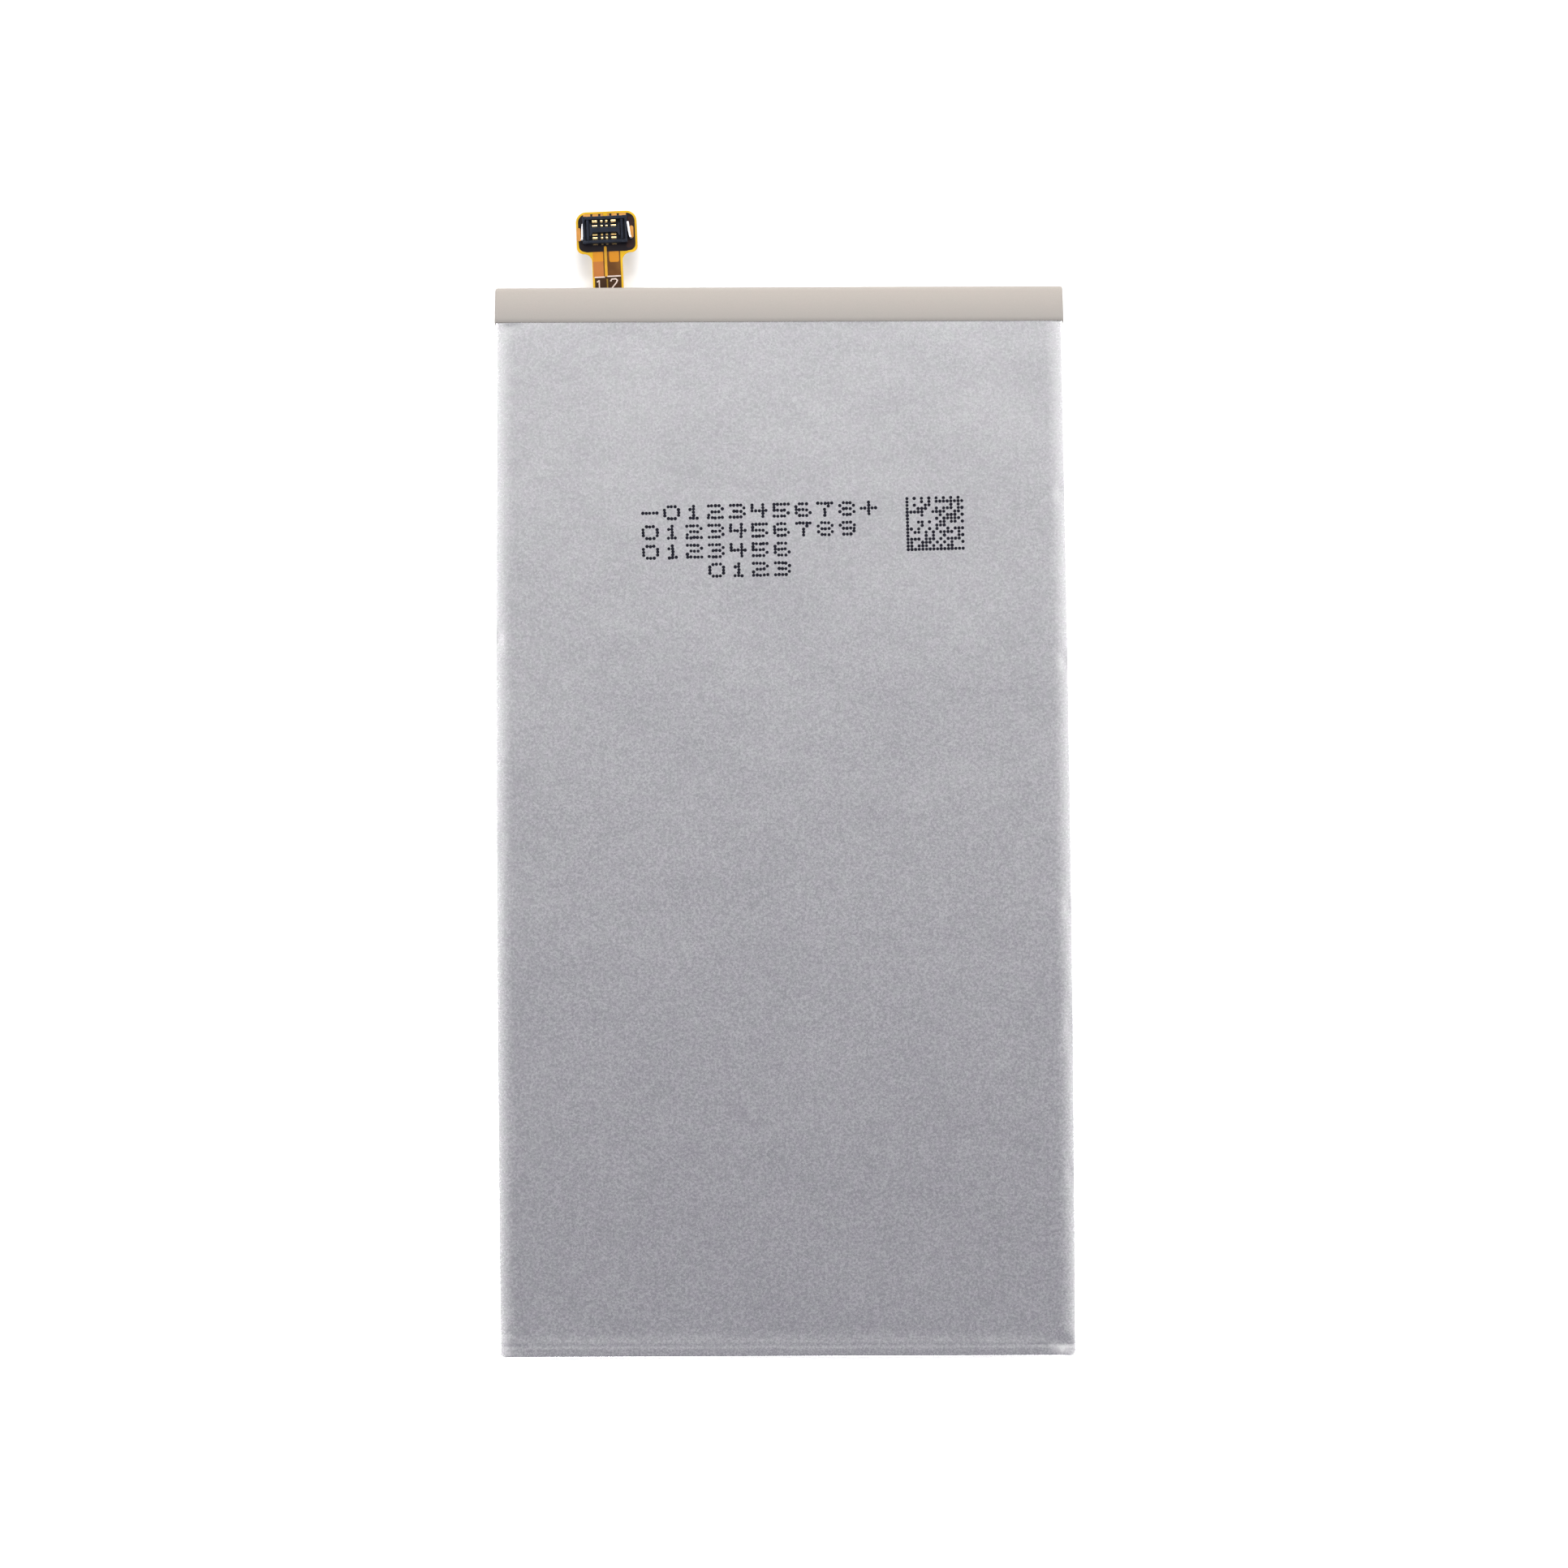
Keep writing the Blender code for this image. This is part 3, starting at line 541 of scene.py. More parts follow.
def buildCup():
    xs = gridLine(-cup["halfWidth"], cup["halfWidth"], 1.5, 1.5)
    ys = gridLine(cup["foot"], cup["end"], 2.9, 1.0)
    rows = []
    for y in ys:
        row = []
        for x in xs:
            px, py = roundCorner(x, y)
            row.append((px, py, cup["top"] - edgeDrop(x, y) + faceLift(px, py)))
        rows.append(row)
    points = [p for row in rows for p in row]
    faces = quads(rows)
    wide, deep = len(xs), len(ys)
    border = list(range(wide))
    border += [j * wide + wide - 1 for j in range(1, deep)]
    border += [(deep - 1) * wide + i for i in range(wide - 2, -1, -1)]
    border += [j * wide for j in range(deep - 2, 0, -1)]
    last = border
    count = len(border)
    for height, sideways, footwards in cup["wall"]:
        made = []
        for k, index in enumerate(border):
            x, y, z = points[index]
            before, after = points[border[k - 1]], points[border[(k + 1) % count]]
            out = Vector((after[1] - before[1], before[0] - after[0])).normalized()
            bulge = math.sin(math.pi * (height - cup["rim"]) / 4.4)
            bow = bulge * ripple(x + y, height, cup["bow"])
            foot = max(0.0, -out.y)
            newX = x + out.x * (sideways + bow)
            newY = y + out.y * (footwards * foot + bow)
            made.append(len(points))
            points.append((newX, newY, height))
        for k in range(count):
            after = (k + 1) % count
            faces.append((last[k], made[k], made[after], last[after]))
        last = made
    points = [(waist(x, y), y, z) for x, y, z in points]
    shell = addMesh("foilCup", points, faces, satinFoil())
    thicken(shell, cup["laminate"])
    shell.data.shade_smooth()
    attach(shell, "pack")
    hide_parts("pouch_cup")


seam = {
    "bendAt": 24.155,
    "centreZ": 0.445,
    "outerRadius": 0.345,
    "innerRadius": 0.205,
    "outerTop": 3.44,
    "innerTop": 3.28,
    "sheet": 0.11,
    "foot": -45.0,
    "end": 42.65,
    "bulge": -0.02,
    "squeeze": -0.12,        # pressed against the wall at the top
    "steps": 240,
    "waves": ((0.02, 7.0, 11.0), (0.008, 1.8, 12.0)),
    "topWaves": ((0.05, 4.0, 13.0),),
}


def sheetFrom(name, rows, material, thickness):
    piece = addMesh(name, [p for row in rows for p in row], quads(rows), material)
    thicken(piece, thickness)
    smooth(piece, 50.0)
    return piece


def sealPath(radius, top, steps, heights):
    # one seal from its bend up along the wall
    x = seam["bendAt"] + radius
    path = arc((seam["bendAt"], seam["centreZ"]), radius, -90, 0, steps)
    return path + [(x, z) for z in (*heights, top)]


def sealRows(path):
    # the folded seals aren't quite straight, least of all at the top
    steps = seam["steps"]
    rows = []
    for i in range(steps + 1):
        y = seam["foot"] + (seam["end"] - seam["foot"]) * i / steps
        row = []
        for x, z in path:
            side = 1 if x > 0 else -1
            share = max(0.0, z - 0.5) / 4.0
            wave = side * (seam["squeeze"] + seam["bulge"] * (1 - (y / 45.0) ** 2)
                           + ripple(y, side * 3.0, seam["waves"]))
            top = share * ripple(y, side * 5.0, seam["topWaves"])
            row.append((waist(x + wave * share, y), y, z + top))
        rows.append(row)
    return rows


def buildSeams():
    for side, label in ((-1, "Left"), (1, "Right")):
        path = sealPath(seam["innerRadius"], seam["innerTop"], 5, (1.2, 2.0, 2.7))
        rows = sealRows([(side * x, z) for x, z in path])
        if side < 0:
            rows.reverse()
        piece = sheetFrom("innerSeam" + label, rows, satinFoil(), seam["sheet"])
        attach(piece, "pack")


def buildCover():
    # the flat sheet with both seals turned up, in one run from seal to seal
    right = sealPath(seam["outerRadius"], seam["outerTop"], 6, (1.2, 2.0, 2.8))
    left = [(-x, z) for x, z in reversed(right)]
    bottom = [(x, right[0][1]) for x in (-20.0, -12.0, -4.0, 4.0, 12.0, 20.0)]
    cover = sheetFrom("foilCover", sealRows(left + bottom + right), satinFoil(), seam["sheet"])
    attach(cover, "pack")
    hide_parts("pouch_cover")


fold = {
    "out": -45.58,
    "low": 0.1,
    "radius": 0.36,
    "slope": ((-45.57, 0.62), (-45.55, 0.74), (-45.52, 0.80), (-45.49, 0.82)),
    "halfWidth": 24.42,
    "corner": 0.35,
    "riseWaves": ((0.06, 3.5, 21.0), (0.02, 1.2, 23.0)),
    "outWaves": ((0.015, 5.0, 22.0),),
}


def buildFold():
    # the bead where the one sheet turns up into the end wall
    low, radius = fold["low"], fold["radius"]
    path = [(-44.9, low), (-45.1, low)]
    path += arc((fold["out"] + radius, low + radius), radius, 270, 180, 6)
    path += fold["slope"]
    steps = 160
    rows = []
    for i in range(steps + 1):
        x = fold["halfWidth"] * (2 * i / steps - 1)
        near = max(0.0, (abs(x) - fold["halfWidth"] + fold["corner"]) / fold["corner"])
        back = fold["corner"] * (1 - math.sqrt(max(0.0, 1 - near ** 2)))
        rise = ripple(x, 0.0, fold["riseWaves"])
        row = []
        for y, z in path:
            share = clamp((-45.0 - y) / 0.6)
            newY = y + share * (back + ripple(x, 0.0, fold["outWaves"]))
            row.append((waist(x, y), newY, z + (rise if z > 0.7 else 0.0)))
        rows.append(row)
    rows.reverse()
    bead = sheetFrom("foilFold", rows, satinFoil(), 0.11)
    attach(bead, "pack")


# the ink-jet code

code = {
    "start": (-11.87, 26.62),     # first dot of the first row, on the face
    "tilt": 1.15,                 # degrees
    "column": 0.297,
    "row": 0.254,
    "advance": 1.868,              # from one figure to the next
    "line": 1.675,
    "rows": ("-012345678+", "0123456789", "0123456", "   0123"),
    "dot": 0.155,
    "spread": 0.07,
    "seed": 7,
}

square = {
    "start": (10.68, 27.3),
    "tilt": 1.3,
    "count": 16,
    "column": 0.312,
    "row": 0.292,
    "seed": 23,
}

# each figure is five rows of five dots, top row first
figures = {
    "-": ("     ", "     ", "#####", "     ", "     "),
    "+": ("  #  ", "  #  ", "#####", "  #  ", "  #  "),
    "0": (" ### ", "#   #", "#   #", "#   #", " ### "),
    "1": ("  #  ", " ##  ", "  #  ", "  #  ", " ### "),
    "2": ("#### ", "    #", " ### ", "#    ", "#####"),
    "3": ("#### ", "    #", " ### ", "    #", "#### "),
    "4": ("#  # ", "#  # ", "#####", "   # ", "   # "),
    "5": ("#####", "#    ", "#### ", "    #", "#### "),
    "6": (" ### ", "#    ", "#### ", "#   #", " ### "),
    "7": ("#####", "   # ", "  #  ", "  #  ", "  #  "),
    "8": (" ### ", "#   #", " ### ", "#   #", " ### "),
    "9": (" ### ", "#   #", " ####", "    #", " ### "),
    " ": ("     ",) * 5,
}


def copyTree():
    # puts a copy of one pattern on every point, stretched and turned as the point says
    tree = bpy.data.node_groups.new("copies", "GeometryNodeTree")
    sockets = {}
    tree.interface.new_socket("Geometry", in_out="OUTPUT", socket_type="NodeSocketGeometry")
    for name, kind in (("Geometry", "Geometry"), ("Pattern", "Object"), ("Spread", "Float"),
                       ("Seed", "Int"), ("Finish", "Material")):
        sockets[name] = tree.interface.new_socket(name, in_out="INPUT",
                                                  socket_type="NodeSocket" + kind).identifier
    given = addNode(tree, "NodeGroupInput")
    pattern = addNode(tree, "GeometryNodeObjectInfo", {"Object": given.outputs["Pattern"]})
    stretch = addNode(tree, "GeometryNodeInputNamedAttribute", {"Name": "stretch"},
                      data_type="FLOAT_VECTOR")
    turn = addNode(tree, "GeometryNodeInputNamedAttribute", {"Name": "turn"},
                   data_type="FLOAT_VECTOR")
    low = addNode(tree, "ShaderNodeMath", {0: 1.0, 1: given.outputs["Spread"]},
                  operation="SUBTRACT")
    high = addNode(tree, "ShaderNodeMath", {0: 1.0, 1: given.outputs["Spread"]}, operation="ADD")
    chance = addNode(tree, "FunctionNodeRandomValue",
                     {2: low.outputs[0], 3: high.outputs[0], "Seed": given.outputs["Seed"]},
                     data_type="FLOAT")
    size = addNode(tree, "ShaderNodeVectorMath",
                   {0: stretch.outputs["Attribute"], "Scale": chance.outputs[1]},
                   operation="SCALE")
    copies = addNode(tree, "GeometryNodeInstanceOnPoints",
                     {"Points": given.outputs["Geometry"], "Instance": pattern.outputs["Geometry"],
                      "Rotation": turn.outputs["Attribute"], "Scale": size.outputs["Vector"]})
    real = addNode(tree, "GeometryNodeRealizeInstances", {"Geometry": copies.outputs[0]})
    finished = addNode(tree, "GeometryNodeSetMaterial",
                       {"Geometry": real.outputs[0], "Material": given.outputs["Finish"]})
    result = addNode(tree, "NodeGroupOutput")
    tree.links.new(finished.outputs[0], result.inputs["Geometry"])
    return tree, sockets


def copyPattern(name, pattern, spots, finish, spread=0.0, seed=0):
    # spots: place, stretch and turn of each copy
    points = addMesh(name + "Points", [spot[0] for spot in spots], [], finish)
    for label, column in (("stretch", 1), ("turn", 2)):
        values = points.data.attributes.new(label, "FLOAT_VECTOR", "POINT")
        for item, spot in zip(values.data, spots):
            item.vector = spot[column]
    tree, socket = copyTree()
    step = points.modifiers.new("copies", "NODES")
    step.node_group = tree
    step[socket["Pattern"]] = pattern
    step[socket["Spread"]] = spread
    step[socket["Seed"]] = seed
    step[socket["Finish"]] = finish
    made = plainMesh(points, name)
    bpy.data.objects.remove(pattern)
    return made


def plainMesh(piece, name):
    # the node result as a mesh of its own, without the modifier
    depsgraph = bpy.context.evaluated_depsgraph_get()
    mesh = bpy.data.meshes.new_from_object(piece.evaluated_get(depsgraph))
    made = linkMesh(name, mesh)
    bpy.data.objects.remove(piece)
    return made


def inkDrop():
    # one dried drop: a flat disc with a soft shoulder
    bm = bmesh.new()
    bmesh.ops.create_circle(bm, cap_ends=True, radius=code["dot"], segments=12)
    bmesh.ops.translate(bm, verts=bm.verts, vec=(0.0, 0.0, -0.012))
    grown = bmesh.ops.extrude_face_region(bm, geom=bm.faces[:])
    raised = [g for g in grown["geom"] if isinstance(g, bmesh.types.BMVert)]
    bmesh.ops.translate(bm, verts=raised, vec=(0.0, 0.0, 0.02))
    bmesh.ops.scale(bm, verts=raised, vec=(0.9, 0.9, 1.0))
    return fromBmesh("inkDrop", bm, inkBlue())


def printDots(name, places, seed):
    level = (1.0, 1.0, 1.0)
    spots = [((x, y, cup["top"] + faceLift(x, y)), level, (0.0, 0.0, 0.0)) for x, y in places]
    printed = copyPattern(name, inkDrop(), spots, inkBlue(), code["spread"], seed)
    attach(printed, "pack")


def turned(start, tilt, right, down):
    turn = math.radians(tilt)
    return (start[0] + right * math.cos(turn) + down * math.sin(turn),
            start[1] + right * math.sin(turn) - down * math.cos(turn))


def buildCode():
    chance = random.Random(code["seed"])
    places = []
    for lineNumber, text in enumerate(code["rows"]):
        for position, mark in enumerate(text):
            for row, dots in enumerate(figures[mark]):
                for column, dot in enumerate(dots):
                    if dot == "#":
                        right = position * code["advance"] + column * code["column"]
                        down = lineNumber * code["line"] + row * code["row"]
                        x, y = turned(code["start"], code["tilt"], right, down)
                        places.append((x + chance.gauss(0, 0.015), y + chance.gauss(0, 0.012)))
    printDots("inkFigures", places, code["seed"])


def buildSquare():
    # a block with the usual solid and dotted borders, filled at random: it holds no data
    chance = random.Random(square["seed"])
    places = []
    last = square["count"] - 1
    for row in range(square["count"]):
        for column in range(square["count"]):
            if column == 0 or row == last:
                dark = True
            elif row == 0:
                dark = column % 2 == 0
            elif column == last:
                dark = row % 2 == 1
            else:
                dark = chance.random() < 0.5
            if dark:
                places.append(turned(square["start"], square["tilt"],
                                     column * square["column"], row * square["row"]))
    printDots("inkSquare", places, square["seed"])


def inkBlue():
    return finishOf("inkBlue", (0.002, 0.002, 0.006), (0.004, 0.004, 0.010), (0.55, 0.7),
                    0.06, 0.001, **{"Specular IOR Level": 0.12})


# the tape round the board

tape = {
    "halfWidth": 24.5,
    "start": 42.62,
    "out": 45.65,
    "top": 5.275,
    "crown": 0.2,
    "press": 0.04,           # how far its edge sinks into the foil
    "flat": 43.0,
    "corner": 0.5,
    "foot": 0.4,
    "thick": 0.06,
    "endRound": 0.16,
    "waves": ((0.02, 6.0, 31.0), (0.008, 1.7, 32.0)),
    "edgeWaves": ((0.015, 3.0, 33.0),),
}


def tapeSection(inset):
    # from the lap on the face, over the crown, down the end and back underneath
    top = tape["top"] - inset
    out = tape["out"] - inset
    corner = max(0.05, tape["corner"] - inset)
    foot = max(0.05, tape["foot"] - inset)
    path = [(tape["start"], top - tape["press"])]
    rise = out - corner - tape["flat"]
    for i in range(13):
        share = i / 12
        path.append((tape["flat"] + rise * share, top - tape["crown"] * share ** 2))
    path += arc((out - corner, top - tape["crown"] - corner), corner, 80, 0, 8)
    path += [(out, z) for z in (3.4, 2.6, 1.8, 1.0)]
    path += arc((out - foot, inset + foot), foot, 0, -90, 6)
    path += [(y, inset) for y in (44.6, 44.0, 43.4, tape["start"])]
    return path


def buildTape():
    steps = 150
    half = tape["halfWidth"]
    endRound = tape["endRound"]
    quarter = [math.pi / 2 * i / 5 for i in range(6)]
    rounded = [(-half + endRound * (1 - math.cos(turn)), endRound * (1 - math.sin(turn)))
               for turn in quarter]
    inner = half - endRound
    line = rounded + [(-inner + 2 * inner * i / steps, 0.0) for i in range(1, steps)]
    line += [(-x, inset) for x, inset in reversed(rounded)]
    rows = []
    for x, inset in line:
        row = []
        for y, z in tapeSection(inset):
            swell = ripple(x, y, tape["waves"])
            free = clamp((y - tape["start"]) / 0.5)
            high = clamp((z - 0.5) / 2.0)
            edge = ripple(x, 0.0, tape["edgeWaves"]) * (1 - free)
            row.append((waist(x, y), y + edge, z + swell * free * high))
        rows.append(row)
    points = [p for row in rows for p in row]
    faces = quads(rows)
    wide = len(rows[0])
    last = (len(rows) - 1) * wide
    faces.append(tuple(range(wide - 1, -1, -1)))
    faces.append(tuple(last + i for i in range(wide)))
    wrap = addMesh("endTape", points, faces, beigeTape())
    thicken(wrap, tape["thick"])
    smooth(wrap, 45.0)
    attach(wrap, "pack")
    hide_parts("cover_tape")


# the flex tail

tail = {
    "root": -2.0,            # hidden end, inside the tape
    "split": 1.27,           # where the two lengths of film meet, under the white line
    "firstBend": (-0.28, 0.45),
    "secondBend": (1.75, 2.45),
    "neck": 1.32,
    "headMiddle": 0.04,
    "headHalf": 2.63,
    "headLow": 3.33,
    "headHigh": 6.98,
    "headCorner": 0.9,
    "fillet": 0.7,
    "film": (-0.06, 0.02),
    "copper": (0.015, 0.038),
    "shade": (0.01, 0.024),
    "coat": (0.03, 0.052),
    "onCoat": (0.03, 0.056),
    "mask": (0.015, 0.045),
    "onMask": (0.015, 0.049),
    "print": (0.045, 0.06),
    "pad": (0.04, 0.062),
}

exitJoint = next(j for j in frame["joints"] if j["name"] == "flex_exit_bend")
tailAcross = Vector(exitJoint["axis"])
tailAlong = Vector((-tailAcross.y, tailAcross.x, 0.0))
tailFrame = Matrix.Translation(exitJoint["pos_m"]) @ Matrix((
    tailAcross, tailAlong, Vector((0.0, 0.0, 1.0)))).transposed().to_4x4()


def headOutline(inset, low):
    # the neck widening into the head, drawn in by inset and started at y = low
    neck = tail["neck"] - inset
    left = tail["headMiddle"] - tail["headHalf"] + inset
    right = tail["headMiddle"] + tail["headHalf"] - inset
    top = tail["headHigh"] - inset
    corner = tail["headCorner"] - inset
    fillet = tail["fillet"] + inset
    base = tail["headLow"] + inset
    bottom = 0.55
    outline = [(-neck, low), (neck, low)]
    outline += arc((neck + fillet, base - fillet), fillet, 180, 100, 6)
    outline += arc((right - bottom, base + bottom), bottom, -80, 0, 6)
    outline += arc((right - corner, top - corner), corner, 0, 90, 8)
    outline += arc((left + corner, top - corner), corner, 90, 180, 8)
    outline += arc((left + bottom, base + bottom), bottom, 180, 260, 6)
    outline += arc((-neck - fillet, base - fillet), fillet, 80, 0, 6)
    return outline


def strip(x, y, corner=0.0):
    if corner:
        return roundedBox(x, y, corner, 4)
    return [(x[0], y[0]), (x[1], y[0]), (x[1], y[1]), (x[0], y[1])]


def bendCuts(bend):
    steps = 12
    return [bend[0] + (bend[1] - bend[0]) * i / steps for i in range(steps + 1)]


def cutAcross(bm, y, **settings):
    cut = bmesh.ops.bisect_plane(bm, geom=bm.verts[:] + bm.edges[:] + bm.faces[:],
                                 plane_co=(0.0, y, 0.0), plane_no=(0.0, 1.0, 0.0), **settings)
    return [g for g in cut["geom_cut"] if isinstance(g, bmesh.types.BMEdge)]


def layer(name, outlines, height, finish, bend=None, body=None, bevel=0.0,
          trim=None):
    # flat shapes of the tail at one height; where they cross a bend they are cut across at close
    # steps
    bm = bmesh.new()
    for outline in outlines:
        slab(bm, outline, *height)
    for y in bendCuts(bend) if bend else ():
        cutAcross(bm, y)
    if trim is not None:
        rim = cutAcross(bm, trim, clear_inner=True)
        bmesh.ops.holes_fill(bm, edges=rim)
    piece = fromBmesh(name, bm, finish, tailFrame)
    if bevel:
        soften(piece, bevel)
    if body:
        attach(piece, body)
    else:
        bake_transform(piece)
    return piece


neckLook = {
    "leftTrack": (-1.24, -0.35),
    "thread": (-0.25, -0.02),
    "threadEnd": 3.92,
    "threadLower": (-0.13, -0.02),
    "rightTrack": (0.17, 1.02),
    "trackEnd": 3.57,
    "orangeFrom": 2.51,
    "coatEdge": 1.14,        # half width of the brown coat
    "lineLeft": ((-1.16, -0.28), (1.19, 1.29)),
    "lineRight": ((-0.06, 1.12), (1.24, 1.34)),
}


def buildFilm():
    first, second = tail["firstBend"], tail["secondBend"]
    neck = (-tail["neck"], tail["neck"])
    film = tailFinish("yellowFilm")
    lower = layer("filmLower", [strip(neck, (tail["root"], tail["split"]))], tail["film"], film,
                  first)
    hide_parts("flex_root", "flex_neck")
    upper = layer("filmUpper", [headOutline(0.0, tail["split"])], tail["film"], film, second)
    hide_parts("flex_head")


def buildTracks():
    first, second = tail["firstBend"], tail["secondBend"]
    tracks = [neckLook["leftTrack"], neckLook["rightTrack"]]
    start, end, change = tail["split"], neckLook["trackEnd"], neckLook["orangeFrom"]
    coat = (-neckLook["coatEdge"], neckLook["coatEdge"])
    root = tail["root"]
    # painted shade: the coat is coloured darker brown from the second bend down to the white line,
    # and coat and thread are darker still from there to the root, as the bent film would be shaded;
    # the brown is partly the coat's own colour
    for name, outlines, height, finish, bend in (
            ("tracksOrange", [strip(x, (change, end), 0.2) for x in tracks], "copper",
             "orangeCopper", second),
            ("trackBrownLeft", [strip(tracks[0], (start, change + 0.1))], "mask",
             "paleCoatInBendShade", second),
            ("trackBrownRight", [strip(tracks[1], (start, change + 0.02))], "mask",
             "brownCoatInBendShade", second),
            ("thread", [strip(neckLook["thread"], (start, neckLook["threadEnd"]), 0.1)], "coat",
             "goldThread", second),
            ("neckShade", [strip(coat, (start, end - 0.1))], "shade", "brownCoatInBendShade", second),
            ("neckCoat", [strip(coat, (root, start))], "coat", "darkCoatInBendShade", first),
            ("threadLower", [strip(neckLook["threadLower"], (root, start - 0.2))], "onCoat",
             "threadInBendShade", first)):
        layer(name, outlines, tail[height], tailFinish(finish), bend)


digitStrokes = {
    "1": (((-0.95, 0.83), (-0.78, 0.94)), ((-0.78, 0.94), (-0.78, -0.05))),
    "2": (((0.22, 0.87), (0.32, 1.03)), ((0.32, 1.03), (0.66, 1.05)), ((0.66, 1.05), (0.80, 0.91)),
          ((0.80, 0.91), (0.70, 0.71)), ((0.70, 0.71), (0.22, 0.15)), ((0.22, 0.15), (0.85, 0.15))),
}


def stroke(start, end, width):
    ahead = (Vector(end) - Vector(start)).normalized() * width / 2
    side = Vector((-ahead.y, ahead.x))
    a, b = Vector(start) - ahead * 0.6, Vector(end) + ahead * 0.6
    return [tuple(a - side), tuple(b - side), tuple(b + side), tuple(a + side)]


def buildLegend():
    first = tail["firstBend"]
    ink = tailFinish("whiteLegend")
    low, high = tail["print"]
    layer("legendLine", [strip(*neckLook["lineLeft"]), strip(*neckLook["lineRight"])],
          (low, high), ink, body="flex_neck")
    for digit, strokes in digitStrokes.items():
        for i, (start, end) in enumerate(strokes):
            lift = 0.0008 * i
            layer("legend" + digit + "abcdef"[i], [stroke(start, end, 0.105)],
                  (low, high + lift), ink, first)


headLook = {
    "maskInset": 0.18,
    "maskStart": 3.46,
    "topPads": ((-1.94, -1.32), (-1.14, -0.63), (-0.44, -0.21), (0.13, 0.32), (0.51, 0.97),
                (1.17, 1.77)),
    "topPadY": (6.44, 6.78),
    "topNotch": ((-0.2, 0.13), (6.53, 6.91)),
    "brownPatches": (((1.88, 2.38), (5.72, 6.45)), ((1.7, 2.38), (3.75, 4.40))),
    "leftPad": ((-2.57, -2.22), (4.47, 5.61)),
    "rightPad": ((2.03, 2.36), (4.58, 5.65)),
    "back": (-0.29, -0.09),
    "backInset": 0.15,
}


def buildHead():
    mask = headOutline(headLook["maskInset"], 1.3)
    layer("mask", [mask], tail["mask"], tailFinish("blackMask"), body="flex_head", bevel=0.008,
          trim=headLook["maskStart"])
    patches = [strip(x, y, 0.12) for x, y in headLook["brownPatches"]]
    layer("maskPatches", patches, tail["onMask"], tailFinish("darkMask"), body="flex_head")
    pads = [strip(x, headLook["topPadY"], 0.05) for x in headLook["topPads"]]
    layer("padsTop", pads, tail["pad"], tailFinish("orangePad"), body="flex_head", bevel=0.006)
    layer("notch", [strip(*headLook["topNotch"], 0.08)], tail["pad"], tailFinish("yellowFilm"),
          body="flex_head")
    sides = [strip(*headLook["leftPad"], 0.12), strip(*headLook["rightPad"], 0.15)]
    layer("padsSide", sides, tail["pad"], tailFinish("orangePad"), body="flex_head", bevel=0.006)
    inset = headLook["backInset"]
    half = tail["headHalf"] - inset
    outline = roundedBox((tail["headMiddle"] - half, tail["headMiddle"] + half),
                         (tail["headLow"] + inset, tail["headHigh"] - inset), 0.75, 6)
    back = layer("stiffener", [outline], headLook["back"], tailFinish("brownBoard"),
                 body="flex_head", bevel=0.02)
    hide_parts("flex_stiffener")


# the connector

plug = {
    "centre": (-0.1, 5.29),
    "half": (1.92, 1.18),
    "base": 0.09,
    "floor": 0.22,
    "top": 0.69,
    "chamfer": 0.05,
    "wall": 0.27,            # long walls
    "endWall": 0.19,
    "island": 0.22,          # half width of the middle rib
    "islandEnd": 1.30,
    "islandTop": 0.58,
    "flare": 0.56,
    "barAt": (1.38, 1.58),   # the upright bars at each end
    "barTop": 0.62,
    "post": (0.42, 0.24),    # the thicker corners, and how far they stand out
    "proud": 0.01,
}

contactLook = {
    "outer": (0.64, 0.86),
    "inner": (0.24, 0.46),
    "outerTop": 0.60,
    "innerTop": 0.46,
    "places": ((-0.86, 0.42), (-0.26, 0.17), (0.16, 0.17), (0.76, 0.42)),
    "tail": (1.17, 1.24),
}


def plugShape(name, outline, height, finish, bevel):
    placed = [(x + plug["centre"][0], y + plug["centre"][1]) for x, y in outline]
    return layer(name, [placed], height, finish, body="flex_head",
                 bevel=bevel)


